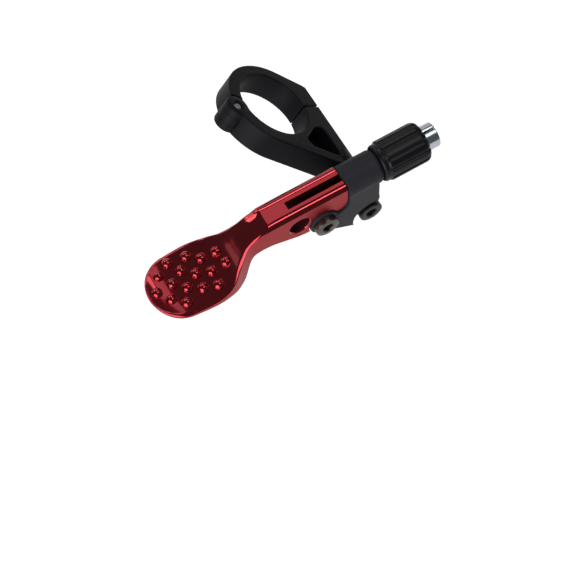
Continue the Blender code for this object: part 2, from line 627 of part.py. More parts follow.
def blade_section(x):
    """The blade's outline across its length, at x in millimetres: a loop of (y, z) in millimetres."""
    top = through(FACE_LINE, x)
    if x < 0.0:
        bottom = through(BOTTOM_LINE, x)
    else:
        bottom = EAR_BOTTOM / MM
        over = x - (BLADE_END - EAR_CORNER) / MM
        if over > 0.0:
            bottom += (EAR_CORNER / MM) - math.sqrt(max((EAR_CORNER / MM) ** 2 - over**2, 0.0))
    half = through(WIDTH_LINE, x)
    if x < TIP + TIP_ROUND:
        t = 1 - (x - TIP) / TIP_ROUND
        half *= math.sqrt(max(1 - t**2, 0.0))
    paddle = 1 - smooth_step(x, -31.0, -15.0)
    span = min(through(EDGE_SPAN, x), half * 0.6)
    drop = min(through(EDGE_DROP, x), span, (top - bottom) * 0.6)
    radius = (span**2 + drop**2) / (2 * drop)
    turn = math.asin(min(span / radius, 1.0))
    under = min(0.5 + 0.9 * paddle, (top - bottom) * 0.35, half * 0.5)
    side = []
    flat = half - span
    for i in range(5):
        y = flat * i / 4
        side.append((y, top - dish_at(x) * (1 - (i / 4) ** 2)))
    for i in range(1, 5):
        a = turn * i / 4
        side.append((flat + radius * math.sin(a), top - radius * (1 - math.cos(a))))
    for i in range(4):
        a = math.radians(90 * i / 3)
        side.append((half - under * (1 - math.cos(a)), bottom + under * (1 - math.sin(a))))
    side.append(((half - under) * 0.5, bottom))
    side.append((0.0, bottom))
    return side + [(-y, z) for y, z in reversed(side[1:-1])]


def blade_stations():
    """Places along the blade, in millimetres, close together where its form changes fast."""
    end = BLADE_END / MM
    ease = 8
    places = [TIP + TIP_ROUND * (1 - math.cos(math.pi / 2 * (i + 0.6) / ease)) for i in range(ease)]
    places += [TIP + TIP_ROUND + i * (-14.0 - TIP - TIP_ROUND) / 20 for i in range(21)]
    places += [-12.0, -10.0, -8.0, -6.5, -5.5, -0.05, 0.05, end - 3.0]
    corner = EAR_CORNER / MM
    places += [end - corner + corner * math.sin(math.pi / 2 * i / 6) for i in range(1, 6)]
    places.append(end)
    return places


def make_lever_blade():
    work = bmesh.new()
    rings = []
    for x in blade_stations():
        rings.append([work.verts.new((x * MM, z * MM, -y * MM)) for y, z in blade_section(x)])
    count = len(rings[0])
    for a, b in zip(rings, rings[1:]):
        for i in range(count):
            j = (i + 1) % count
            work.faces.new((a[i], a[j], b[j], b[i]))
    work.faces.new(list(reversed(rings[0])))
    work.faces.new(rings[-1])
    bmesh.ops.recalc_face_normals(work, faces=work.faces)
    mesh = bpy.data.meshes.new("lever_blade")
    work.to_mesh(mesh)
    work.free()
    blade = mesh_object("lever_blade", mesh, SIDE, RED)

    wide = 20 * MM
    cheeks = [
        rod("cheek_room_near", PIVOT_BOSS_RADIUS + 3 * SEAT_GAP, TONGUE_HALF, wide, SIDE, steps=ROUND),
        rod("cheek_room_far", PIVOT_BOSS_RADIUS + 3 * SEAT_GAP, -wide, -TONGUE_HALF, SIDE, steps=ROUND),
    ]
    tongue = rod("tongue", TONGUE_RADIUS, -TONGUE_HALF, TONGUE_HALF, SIDE, steps=ROUND)
    slot_start = BLADE_END - SLOT_LENGTH
    slot = block(
        "cable_slot", (slot_start, SLOT_FLOOR, -SLOT_WIDTH / 2), (BLADE_END + MM, BLADE_TOP + MM, SLOT_WIDTH / 2), SIDE
    )
    head_hole = rod("head_hole", HEAD_HOLE_RADIUS, -wide, wide, SIDE, place=HEAD_HOLE_PLACE)
    bush_hole = rod("bush_hole", BUSH_RADIUS + RUN_GAP, -wide, wide, SIDE)
    cut(blade, *cheeks)
    join(blade, tongue, *domes())
    return cut(blade, slot, head_hole, bush_hole)


def domes():
    """Grip domes in curved rows, all about one centre beside the paddle."""
    made = []
    for row, (count, middle) in enumerate(DOME_ROWS):
        radius = DOME_FIRST_ROW + row * DOME_ROW_PITCH
        for i in range(count):
            turn = math.radians(middle) + (i - (count - 1) / 2) * DOME_PITCH / radius
            x = DOME_CENTRE[0] + radius * math.cos(turn)
            y = DOME_CENTRE[1] + radius * math.sin(turn)
            face = through(FACE_LINE, x / MM) * MM - dish_at(x / MM) * MM * (1 - (y / (9 * MM)) ** 2)
            spot = Matrix.Translation((x, face + DOME_HEIGHT - DOME_RADIUS, -y))
            spot = spot @ Matrix.Rotation(math.pi / 2, 4, "X")
            work = bmesh.new()
            bmesh.ops.create_uvsphere(work, u_segments=10, v_segments=8, radius=DOME_RADIUS, matrix=spot)
            mesh = bpy.data.meshes.new("dome")
            work.to_mesh(mesh)
            work.free()
            made.append(mesh_object(f"dome_{row}_{i}", mesh, SIDE))
    return made


def make_knob():
    r = KNOB_RADIUS
    bore = NECK_RADIUS + 0.15 * MM
    ring = NECK_END - 1.2 * MM
    cup = BARREL_RADIUS + 0.12 * MM
    profile = [
        (r - 1.2 * MM, KNOB_START), (r - 0.65 * MM, KNOB_START + 0.35 * MM), (r - 0.45 * MM, KNOB_START + 0.9 * MM),
        (r - 0.45 * MM, KNOB_START + 1.6 * MM), (r, KNOB_START + 2.1 * MM), (r, KNOB_END - 1.8 * MM),
        (r - 0.2 * MM, KNOB_END - 1.0 * MM), (r - 0.65 * MM, KNOB_END - 0.35 * MM), (r - 1.4 * MM, KNOB_END),
        (cup, KNOB_END), (cup, INSERT_END + SEAT_GAP), (INSERT_RADIUS + RUN_GAP, INSERT_END + SEAT_GAP),
        (INSERT_RADIUS + RUN_GAP, INSERT_START - SEAT_GAP), (bore, INSERT_START - SEAT_GAP),
        (bore, ring + 0.9 * MM), (bore + 0.5 * MM, ring + 0.9 * MM), (bore + 0.5 * MM, ring - 0.2 * MM),
        (bore, ring - 0.2 * MM), (bore, KNOB_START),
    ]
    knob = turned("adjuster_knob", profile, ADJUSTER, BLACK_KNOB, 4 * KNOB_FLUTES)
    flutes = []
    for i in range(KNOB_FLUTES):
        turn = 2 * math.pi * i / KNOB_FLUTES
        out = r + FLUTE_RADIUS - FLUTE_DEPTH
        place = (out * math.cos(turn), out * math.sin(turn))
        flutes.append(
            rod(f"flute_{i}", FLUTE_RADIUS, KNOB_START + 2.1 * MM, KNOB_END + MM, ADJUSTER, place=place, steps=12)
        )
    return cut(knob, *flutes)


def make_adjuster_inside():
    shank, cup, end = BARREL_SHANK_RADIUS, BARREL_RADIUS, BARREL_END
    c = 0.3 * MM
    wire = CABLE_BORE_RADIUS - 0.2 * MM
    inner = cup - BARREL_WALL
    profile = [
        (shank - c, BARREL_SHANK_START), (shank, BARREL_SHANK_START + c), (shank, BARREL_CUP_START),
        (cup, BARREL_CUP_START), (cup, end - c), (cup - c, end), (inner, end),
        (inner, BARREL_CUP_START + 1.7 * MM), (wire, BARREL_CUP_START + 1.7 * MM), (wire, BARREL_SHANK_START),
    ]
    barrel = turned("adjuster_barrel", profile, ADJUSTER, BRIGHT, SMALL_ROUND)
    slit = block(
        "barrel_slit", (-6 * MM, -BARREL_SLIT / 2, BARREL_CUP_START + 1.2 * MM), (0.0, BARREL_SLIT / 2, end + MM),
        ADJUSTER,
    )
    key_slot = block(
        "key_slot", (-6 * MM, -0.6 * MM, BARREL_SHANK_START - MM), (-1.8 * MM, 0.6 * MM, INSERT_START - MM),
        ADJUSTER,
    )
    cut(barrel, slit, key_slot)

    inner = shank + RUN_GAP
    ring = [(INSERT_RADIUS, INSERT_END), (INSERT_RADIUS, INSERT_START), (inner, INSERT_START), (inner, INSERT_END)]
    turned("adjuster_thread_insert", ring, ADJUSTER, BRASS, SMALL_ROUND)

    rod("adjuster_key_pin", 0.5 * MM, 2.0 * MM, NECK_RADIUS - 0.1 * MM, KEY_AXIS, BRIGHT, steps=12)

    low = NECK_END - 1.2 * MM + SEAT_GAP
    outer, inner, high = NECK_RADIUS + 0.5 * MM, NECK_RADIUS - 0.4 * MM, low + 0.5 * MM
    snap = turned(
        "adjuster_snap_ring", [(outer, high), (outer, low), (inner, low), (inner, high)], ADJUSTER, BRIGHT, SMALL_ROUND
    )
    cut(snap, block("snap_opening", (0.0, -MM, low - MM), (6 * MM, MM, high + MM), ADJUSTER))

    section = 0.32 * MM
    middle = KNOB_START + 0.8 * MM + 0.45 * MM
    radius = NECK_RADIUS - 0.6 * MM + section + 0.04 * MM
    loop = [(radius + y, middle - x) for x, y in arc((0.0, 0.0), section, 90.0, -252.0, 19)[::2]]
    turned("adjuster_o_ring", loop, ADJUSTER, RUBBER, SMALL_ROUND)


make_clamp_arm()
make_clamp_cap()
make_hinge_pin()
make_clamp_screw()
make_lever_body()
make_mount_screw()
make_pivot()
make_lever_blade()
make_knob()
make_adjuster_inside()
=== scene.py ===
"""Looks of the dropper post remote lever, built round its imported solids.

Metres, +Z up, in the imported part's frame: the origin is the centre of the clamp bore, +X runs along the cable
and the lever turns about an axis along Y.
"""

import math

import bmesh
import bpy
from mathutils import Matrix, Vector


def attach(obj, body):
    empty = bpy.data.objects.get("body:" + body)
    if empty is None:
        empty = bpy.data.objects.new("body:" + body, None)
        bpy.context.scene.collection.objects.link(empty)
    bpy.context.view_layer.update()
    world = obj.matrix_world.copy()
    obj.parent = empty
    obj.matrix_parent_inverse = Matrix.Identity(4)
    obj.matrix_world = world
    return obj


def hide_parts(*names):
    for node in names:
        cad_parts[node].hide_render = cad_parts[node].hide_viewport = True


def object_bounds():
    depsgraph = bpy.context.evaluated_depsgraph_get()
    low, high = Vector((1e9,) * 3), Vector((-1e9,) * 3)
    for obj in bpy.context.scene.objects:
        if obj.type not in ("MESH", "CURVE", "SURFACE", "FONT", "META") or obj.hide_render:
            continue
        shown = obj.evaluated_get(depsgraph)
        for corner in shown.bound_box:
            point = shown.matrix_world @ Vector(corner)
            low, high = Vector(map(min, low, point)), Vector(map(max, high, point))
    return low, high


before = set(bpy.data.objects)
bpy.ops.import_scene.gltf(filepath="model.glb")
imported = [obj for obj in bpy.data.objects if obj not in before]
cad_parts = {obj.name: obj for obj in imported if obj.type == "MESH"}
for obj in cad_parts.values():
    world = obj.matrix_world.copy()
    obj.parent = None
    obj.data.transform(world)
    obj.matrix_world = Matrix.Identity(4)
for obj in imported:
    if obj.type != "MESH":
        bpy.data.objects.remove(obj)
cad_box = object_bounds()
scene = bpy.context.scene
MM = 0.001

# Sizes, most of them the part's own
SEAT_GAP = 0.10 * MM
RUN_GAP = 0.08 * MM
EDGE = 0.35 * MM
BAR_RADIUS = 11.1 * MM
RING_TILT = math.radians(39.0)
RING_HALF = 3.8 * MM
CAP_RADIUS = BAR_RADIUS + 3.6 * MM
ARM_RADIUS = BAR_RADIUS + 4.1 * MM
SPLIT_HEIGHT = -1.35 * MM
ARM_SPLIT_ROOM = 0.3 * MM  # from the split's height down to the arm
CAP_SPLIT_ROOM = 0.2 * MM  # and up to the cap, a value at which the cap's cuts come out closed
LUG_REACH = 16.8 * MM
LUG_CORNER = 6.9 * MM
LUG_SLOPE = math.radians(36.0)
HINGE_REACH = 14.2 * MM
KNUCKLE_RADIUS = 3.6 * MM
KNUCKLE_WIDTH = 2.8 * MM
KNUCKLE_PROUD = 0.02 * MM  # keeps the knuckles' faces off the arm's, so that they join cleanly
KNUCKLE_ROUND = 0.5 * MM
HINGE_PIN_RADIUS = 1.2 * MM
HINGE_PIN_RECESS = 0.35 * MM
CLAMP_SCREW_REACH = 13.9 * MM
CLAMP_SEAT_HEIGHT = 4.4 * MM
CLAMP_HEAD_RADIUS = 3.0 * MM
CLAMP_HEAD_HEIGHT = 3.2 * MM
CLAMP_THREAD_DEPTH = 6.8 * MM
CAP_HOLE_ROOM = 0.65 * MM  # room for the cap's tilt round the screw that opens it
CAP_SEAT_ROOM = 0.4 * MM
LUG_BEVEL = 1.2 * MM
ARM_DROP = 33.3 * MM
ARM_SLANT = math.radians(28.4)
MOUNT_REACH = 14.1 * MM
MOUNT_BOSS_RADIUS = 4.4 * MM
MOUNT_HOLE_DEPTH = 7.2 * MM
POCKET_TOP = -9.2 * MM
POCKET_CORNERS = (  # x, y and how far the corner is rounded, in millimetres in the ring's plane
    (12.85, -9.2, 2.0), (12.85, -20.5, 2.3), (3.9, -15.7, 1.3),
    (3.9, -12.75, 0.9), (6.4, -11.35, 1.1), (9.3, -9.2, 1.2),
)
POCKET_FLOOR = 1.4 * MM
POCKET_FILLET = ((0.0, -0.55 * MM), (0.25 * MM, -0.2 * MM), (0.7 * MM, 0.0))  # height, outward shift
THREAD_RADIUS = 2.0 * MM
THREAD_PITCH = 0.7 * MM
THREAD_DEPTH = 0.28 * MM
KEY_FLATS = 3.0 * MM
CLEAR_RADIUS = 2.2 * MM
BODY_HALF_WIDTH = 4.75 * MM
TUBE_RADIUS = 4.85 * MM
CABLE_HEIGHT = 7.3 * MM
BODY_END = 18.5 * MM
BLOCK_END = 17.5 * MM
MOUNT_FROM_PIVOT = Vector((15.0 * MM, 0.0, -9.2 * MM))
MOUNT_LUG_RADIUS = 4.6 * MM
SPOT_FACE_RADIUS = 6.0 * MM
MOUNT_HEAD_SEAT = BODY_HALF_WIDTH - 3.2 * MM
MOUNT_HEAD_RADIUS = 3.5 * MM
MOUNT_HEAD_HEIGHT = 2.6 * MM
MOUNT_THREAD_DEPTH = 6.7 * MM
WASHER_ROOM = 0.6 * MM  # a washer and the gap on either side of it
PIVOT_BOSS_RADIUS = 4.3 * MM
CHEEK_GAP = BODY_HALF_WIDTH - 1.85 * MM
CABLE_BORE_RADIUS = 1.3 * MM
PIVOT_HEAD_RADIUS = 3.5 * MM
PIVOT_HEAD_HEIGHT = 1.8 * MM
NUT_FLATS = 6.6 * MM
NUT_HEIGHT = 2.2 * MM
BLADE_TOP = 11.1 * MM
BLADE_HALF_WIDTH = 4.15 * MM
BLADE_END = 7.7 * MM
EAR_BOTTOM = 1.2 * MM
EAR_CORNER = 3.0 * MM
NECK_BOTTOM = -2.1 * MM
TONGUE_RADIUS = 4.0 * MM
TONGUE_HALF = CHEEK_GAP - 0.6 * MM
SHOULDER_SPAN = 2.1 * MM
SHOULDER_DROP = 0.95 * MM
SLOT_WIDTH = 1.6 * MM
SLOT_NEAR_LIP = 0.45 * MM
SLOT_NEAR_LIP_DEPTH = 0.35 * MM
SLOT_FAR_LIP = 0.32 * MM
SLOT_FAR_LIP_DEPTH = 0.6 * MM
SLOT_LENGTH = 16.3 * MM
SLOT_FLOOR = 4.6 * MM
HEAD_HOLE_PLACE = (-7.3 * MM, 4.4 * MM)
HEAD_HOLE_RADIUS = 3.1 * MM
BUSH_HOLE_RADIUS = 3.44 * MM
PADDLE_TIP = -52.0 * MM
DOME_RADIUS = 1.6 * MM
DOME_HEIGHT = 1.3 * MM
DOME_CENTRE = (-30.0 * MM, 12.0 * MM)
DOME_FIRST_ROW = 9.1 * MM
DOME_ROW_PITCH = 4.4 * MM
DOME_PITCH = 4.3 * MM
DOME_ROWS = ((3, 244.4), (5, 237.5), (5, 230.8), (3, 221.7))
PADDLE_DISH = 0.2 * MM
DOME_SINK = 0.4 * MM  # how deep the domes are rooted under the paddle's face
NECK_CROWN = 0.55  # fall from the neck's middle to its far shoulder, in millimetres
NECK_RADIUS = 3.8 * MM
NECK_FLANGE_RADIUS = 4.2 * MM
NECK_END = 26.8 * MM
KNOB_START = 19.2 * MM
KNOB_END = 33.8 * MM
KNOB_RADIUS = 5.9 * MM
KNOB_FLUTES = 12
FLUTE_DEPTH = 0.45 * MM
BARREL_END = 37.6 * MM
BARREL_RADIUS = 3.6 * MM
BARREL_WALL = 1.05 * MM
BARREL_SLIT = 0.5 * MM
BARREL_SHANK_RADIUS = 2.5 * MM
BARREL_SHANK_START = 20.9 * MM
BARREL_CUP_START = 29.9 * MM
BARREL_PITCH = 0.8 * MM
BARREL_THREAD_DEPTH = 0.3 * MM
BARREL_THREADS = 10
KEY_PLACE = 24.2 * MM
THROUGH = 8 * MM  # half the length of a cutter that passes right through

# Places of the part's axes
CLAMP = Matrix.Rotation(RING_TILT, 4, "Y")  # X and Y in the ring's plane, Z along the bar
HINGE = CLAMP @ Matrix.Translation((-HINGE_REACH, 0.0, 0.0))
SCREW_DOWN = Matrix.Rotation(-math.pi / 2, 4, "X")
CLAMP_SCREW = CLAMP @ Matrix.Translation((CLAMP_SCREW_REACH, 0.0, 0.0)) @ SCREW_DOWN
BOSS = CLAMP @ Matrix.Translation((MOUNT_REACH, 0.0, 0.0)) @ SCREW_DOWN
MOUNT = Matrix.Translation((MOUNT_REACH * math.cos(RING_TILT), -ARM_DROP, -MOUNT_REACH * math.sin(RING_TILT)))
PIVOT = MOUNT @ Matrix.Translation(-MOUNT_FROM_PIVOT)
SIDE = PIVOT @ Matrix.Rotation(math.pi / 2, 4, "X")  # X along the cable, Y up, Z towards the near side
MOUNT_SIDE = MOUNT @ Matrix.Rotation(math.pi / 2, 4, "X")
ADJUSTER = PIVOT @ Matrix.Translation((0.0, 0.0, CABLE_HEIGHT)) @ Matrix.Rotation(math.pi / 2, 4, "Y")
KEY_AXIS = PIVOT @ Matrix.Translation((KEY_PLACE, 0.0, CABLE_HEIGHT))

SHAPING = bpy.data.collections.new("shaping")
scene.collection.children.link(SHAPING)


# Solid helpers
MERGE_DISTANCE = 1e-6
EDGE_CLEARANCE = 0.85 * MM  # how near to a sharp corner the edge rounding lets another point stand


def tool(name, mesh, place):
    """A mesh placed in the part's frame, kept in the shaping collection until a piece takes it."""
    mesh.transform(place)
    made = bpy.data.objects.new(name, mesh)
    SHAPING.objects.link(made)
    return made


def mesh_from(work, name):
    """The mesh that a bmesh has been built up to."""
    mesh = bpy.data.meshes.new(name)
    work.to_mesh(mesh)
    work.free()
    return mesh


def outward_mesh(work, name):
    """A mesh whose faces all look outwards."""
    bmesh.ops.recalc_face_normals(work, faces=work.faces)
    return mesh_from(work, name)


def skin(work, rings):
    """Faces from each ring of points to the next."""
    count = len(rings[0])
    for a, b in zip(rings, rings[1:]):
        for i in range(count):
            j = (i + 1) % count
            work.faces.new((a[i], a[j], b[j], b[i]))


def round_about(radius, turn, height):
    """A point at a radius from Z, a turn round it and a height along it."""
    return (radius * math.cos(turn), radius * math.sin(turn), height)


def cleaned(mesh):
    """The mesh without doubled points."""
    work = bmesh.new()
    work.from_mesh(mesh)
    bmesh.ops.remove_doubles(work, verts=work.verts, dist=MERGE_DISTANCE)
    bmesh.ops.recalc_face_normals(work, faces=work.faces)
    work.to_mesh(mesh)
    work.free()
    return mesh


def evaluated(made):
    """A mesh of the piece with its modifiers carried out."""
    graph = bpy.context.evaluated_depsgraph_get()
    graph.update()
    return bpy.data.meshes.new_from_object(made.evaluated_get(graph))


def clear_of_corners(loop):
    """The outline without the points that stand closer to a sharp corner than the edge rounding needs."""
    spots = [Vector(point) for point in loop]
    count = len(spots)
    corners = []
    for i in range(count):
        a, b = (spots[i] - spots[i - 1]), (spots[(i + 1) % count] - spots[i])
        if a.length > 1e-9 and b.length > 1e-9 and a.angle(b) > 0.45:
            corners.append(i)
    kept = []
    for i in range(count):
        near = any(i != c and (spots[i] - spots[c]).length < EDGE_CLEARANCE for c in corners)
        if i in corners or not near:
            kept.append(loop[i])
    return kept


def plate(name, loop, start, end, place, edge):
    """A flat outline, solid from start to end along Z, with rounded edges."""
    loop = clear_of_corners(loop)
    curve = bpy.data.curves.new(name, "CURVE")
    curve.dimensions = "2D"
    curve.fill_mode = "BOTH"
    spline = curve.splines.new("POLY")
    spline.points.add(len(loop) - 1)
    for point, (x, y) in zip(spline.points, loop):
        point.co = (x, y, 0.0, 1.0)
    spline.use_cyclic_u = True
    curve.extrude = (end - start) / 2 - edge
    curve.bevel_depth = edge
    curve.offset = -edge
    curve.bevel_resolution = 2
    drawn = bpy.data.objects.new(name, curve)
    SHAPING.objects.link(drawn)
    mesh = cleaned(evaluated(drawn))
    bpy.data.objects.remove(drawn, do_unlink=True)
    mesh.transform(Matrix.Translation((0.0, 0.0, (start + end) / 2)))
    return tool(name, mesh, place)


def turned(name, profile, place, steps, close=True):
    """A (radius, height) profile turned about Z."""
    work = bmesh.new()
    rings = []
    for radius, height in profile:
        if radius < 1e-7:
            rings.append([work.verts.new((0.0, 0.0, height))])
            continue
        turn = [2 * math.pi * i / steps for i in range(steps)]
        rings.append([work.verts.new(round_about(radius, a, height)) for a in turn])
    pairs = list(zip(rings, rings[1:]))
    if close and len(rings[0]) > 1:
        pairs.append((rings[-1], rings[0]))
    for low, high in pairs:
        for i in range(steps):
            j = (i + 1) % steps
            corners = [low[i % len(low)], low[j % len(low)], high[j % len(high)], high[i % len(high)]]
            work.faces.new(list(dict.fromkeys(corners)))
    return tool(name, outward_mesh(work, name), place)


def lofted(name, loops, place):
    """A solid through loops of points, each with the same count, closed at both ends."""
    work = bmesh.new()
    rings = [[work.verts.new(point) for point in loop] for loop in loops]
    skin(work, rings)
    work.faces.new(list(reversed(rings[0])))
    work.faces.new(rings[-1])
    return tool(name, outward_mesh(work, name), place)


def rod(name, radius, start, end, place, steps=64):
    """A round bar, or one with a few flats, from start to end along Z."""
    work = bmesh.new()
    where = Matrix.Translation((0.0, 0.0, (start + end) / 2))
    bmesh.ops.create_cone(
        work, cap_ends=True, segments=steps, radius1=radius, radius2=radius, depth=end - start, matrix=where
    )
    return tool(name, mesh_from(work, name), place)


def block(name, low, high, place):
    """A cutter with flat sides between two corners."""
    work = bmesh.new()
    size = [b - a for a, b in zip(low, high)]
    middle = [(a + b) / 2 for a, b in zip(low, high)]
    bmesh.ops.create_cube(work, size=1.0, matrix=Matrix.Translation(middle) @ Matrix.Diagonal((*size, 1.0)))
    return tool(name, mesh_from(work, name), place)


def combined(target, operation, *tools):
    """The target after each tool is joined to it or cut from it; the tools are used up."""
    for each in tools:
        change = target.modifiers.new(each.name, "BOOLEAN")
        change.operation = operation
        change.solver = "EXACT"
        change.object = each
    mesh = evaluated(target)
    target.modifiers.clear()
    target.data = mesh
    for each in tools:
        bpy.data.objects.remove(each, do_unlink=True)
    return target


def cut(target, *tools):
    """Take the cutters out of a piece."""
    return combined(target, "DIFFERENCE", *tools)


def join(target, *tools):
    """Merge more solids into a piece."""
    return combined(target, "UNION", *tools)


def piece(made, name, body, material, *nodes, smooth=34.0):
    """A finished piece: smooth across gentle bends, crisp at edges, riding on its body."""
    made.name = name
    mesh = made.data
    mesh.name = name
    mesh.materials.clear()
    mesh.materials.append(material)
    mesh.shade_smooth()
    mesh.set_sharp_from_angle(angle=math.radians(smooth))
    change = made.modifiers.new("even_faces", "WEIGHTED_NORMAL")
    change.keep_sharp = True
    change.weight = 60
    done = evaluated(made)
    made.modifiers.clear()
    made.data = done
    done.name = name
    SHAPING.objects.unlink(made)
    scene.collection.objects.link(made)
    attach(made, body)
    if nodes:
        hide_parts(*nodes)
    return made


def arc(centre, radius, start, end, steps):
    """Points of an arc between two angles in degrees."""
    turns = [math.radians(start + (end - start) * i / steps) for i in range(steps + 1)]
    return [(centre[0] + radius * math.cos(a), centre[1] + radius * math.sin(a)) for a in turns]


def angle_on(radius, height):
    """The angle in degrees at which a circle about the origin reaches a height."""
    return math.degrees(math.asin(height / radius))


def hex_key(name, start, end, place):
    """The cutter for a hexagon socket."""
    return rod(name, KEY_FLATS / math.sqrt(3), start, end, place, steps=6)


# Finishes
GRAIN_SCALE = 5200.0
CLOUD_SCALE = 190.0
MARK_SCALE = 900.0
GRAIN_HEIGHT = 0.00002
COAT_ROUGHNESS = 0.04
MILLED_SLOPE = (0.08, 0.16)  # upward slopes between which the milled finish gives way
POLISHED_RED, POLISHED_ROUGHNESS = (0.46, 0.010, 0.022), 0.10
MILLED_RED, MILLED_ROUGHNESS = (0.44, 0.027, 0.035), 0.42


def new_group(name, inputs, outputs):
    """An empty node group with its sockets, its input node and its output node."""
    group = bpy.data.node_groups.new(name, "ShaderNodeTree")
    for label, kind, value in inputs:
        socket = group.interface.new_socket(name=label, in_out="INPUT", socket_type=kind)
        if value is not None:
            socket.default_value = value
    for label, kind in outputs:
        group.interface.new_socket(name=label, in_out="OUTPUT", socket_type=kind)
    return group, group.nodes.new("NodeGroupInput"), group.nodes.new("NodeGroupOutput")


def settings(node, **values):
    """Set a node's inputs, each under its label with underscores for spaces."""
    for label, value in values.items():
        node.inputs[label.replace("_", " ")].default_value = value


def noise(nodes, links, vector, scale, detail, rough):
    """Even noise from 0 to 1."""
    made = nodes.new("ShaderNodeTexNoise")
    settings(made, Scale=scale, Detail=detail, Roughness=rough)
    links.new(vector, made.inputs["Vector"])
    return made.outputs["Fac"]


def spread(nodes, links, value, low, high, to_low, to_high):
    """A value stretched from one span to another and held inside it."""
    made = nodes.new("ShaderNodeMapRange")
    made.clamp = True
    settings(made, From_Min=low, From_Max=high, To_Min=to_low, To_Max=to_high)
    links.new(value, made.inputs["Value"])
    return made.outputs["Result"]


def maths(nodes, links, kind, *values):
    """One sum of one or two values."""
    made = nodes.new("ShaderNodeMath")
    made.operation = kind
    for i, value in enumerate(values):
        if isinstance(value, (int, float)):
            made.inputs[i].default_value = value
        else:
            links.new(value, made.inputs[i])
    return made.outputs[0]


def mixed(nodes, links, factor, a, b):
    """A colour between two others."""
    made = nodes.new("ShaderNodeMix")
    made.data_type = "RGBA"
    links.new(factor, made.inputs[0])
    made.inputs[6].default_value = (*a, 1.0)
    made.inputs[7].default_value = (*b, 1.0)
    return made.outputs[2]


def surface_finish_group():
    """Fine blasted grain, faint cloudiness and handling marks, shared by the metal pieces."""
    group, given, out = new_group(
        "surface_finish",
        [
            ("Colour", "NodeSocketColor", (0.5, 0.5, 0.5, 1.0)),
            ("Roughness", "NodeSocketFloat", 0.4),
            ("Grain", "NodeSocketFloat", 0.1),
            ("Cloud", "NodeSocketFloat", 0.1),
        ],
        [("Colour", "NodeSocketColor"), ("Roughness", "NodeSocketFloat"), ("Height", "NodeSocketFloat")],
    )
    nodes, links = group.nodes, group.links
    place = nodes.new("ShaderNodeTexCoord").outputs["Object"]
    grain = noise(nodes, links, place, GRAIN_SCALE, 2.0, 0.6)
    cloud = noise(nodes, links, place, CLOUD_SCALE, 3.0, 0.55)
    marks = noise(nodes, links, place, MARK_SCALE, 4.0, 0.7)
    centred = maths(nodes, links, "SUBTRACT", cloud, 0.5)
    swing = maths(nodes, links, "MULTIPLY", centred, given.outputs["Cloud"])
    spotted = maths(nodes, links, "SUBTRACT", marks, 0.5)
    mark = maths(nodes, links, "MULTIPLY", spotted, given.outputs["Grain"])
    shift = maths(nodes, links, "ADD", swing, mark)
    rough = maths(nodes, links, "ADD", given.outputs["Roughness"], shift)
    scale = nodes.new("ShaderNodeVectorMath")
    scale.operation = "SCALE"
    links.new(given.outputs["Colour"], scale.inputs[0])
    links.new(maths(nodes, links, "ADD", shift, 1.0), scale.inputs["Scale"])
    links.new(scale.outputs[0], out.inputs["Colour"])
    links.new(rough, out.inputs["Roughness"])
    links.new(maths(nodes, links, "MULTIPLY", grain, given.outputs["Grain"]), out.inputs["Height"])
    return group


FINISH = surface_finish_group()


def finish(name, colour, roughness, metallic, grain, cloud, bump, coat=0.0, specular=0.5):
    """A material that takes its grain and cloudiness from the shared finish."""
    made = bpy.data.materials.new(name)
    made.use_nodes = True
    nodes, links = made.node_tree.nodes, made.node_tree.links
    shader = nodes["Principled BSDF"]
    use = nodes.new("ShaderNodeGroup")
    use.node_tree = FINISH
    settings(use, Colour=(*colour, 1.0), Roughness=roughness, Grain=grain, Cloud=cloud)
    raised = nodes.new("ShaderNodeBump")
    settings(raised, Distance=GRAIN_HEIGHT, Strength=bump)
    links.new(use.outputs["Height"], raised.inputs["Height"])
    links.new(use.outputs["Colour"], shader.inputs["Base Color"])
    links.new(use.outputs["Roughness"], shader.inputs["Roughness"])
    links.new(raised.outputs["Normal"], shader.inputs["Normal"])
    settings(shader, Metallic=metallic, Specular_IOR_Level=specular)
    settings(shader, Coat_Weight=coat, Coat_Roughness=COAT_ROUGHNESS)
    return made


def red_anodised():
    """Bright dipped and dyed on the faces that were polished, duller on the milled flat sides."""
    made = finish("red_anodised", POLISHED_RED, POLISHED_ROUGHNESS, 1.0, 0.03, 0.04, 0.01, coat=1.0)
    nodes, links = made.node_tree.nodes, made.node_tree.links
    shader = nodes["Principled BSDF"]
    use = next(n for n in nodes if n.type == "GROUP")
    facing = nodes.new("ShaderNodeSeparateXYZ")
    links.new(nodes.new("ShaderNodeNewGeometry").outputs["Normal"], facing.inputs[0])
    upward = maths(nodes, links, "ABSOLUTE", facing.outputs["Z"])
    milled = spread(nodes, links, upward, *MILLED_SLOPE, 1.0, 0.0)
    roughness = spread(nodes, links, milled, 0.0, 1.0, POLISHED_ROUGHNESS, MILLED_ROUGHNESS)
    links.new(roughness, use.inputs["Roughness"])
    links.new(mixed(nodes, links, milled, POLISHED_RED, MILLED_RED), use.inputs["Colour"])
    links.new(spread(nodes, links, milled, 0.0, 1.0, 1.0, 0.0), shader.inputs["Coat Weight"])
    return made


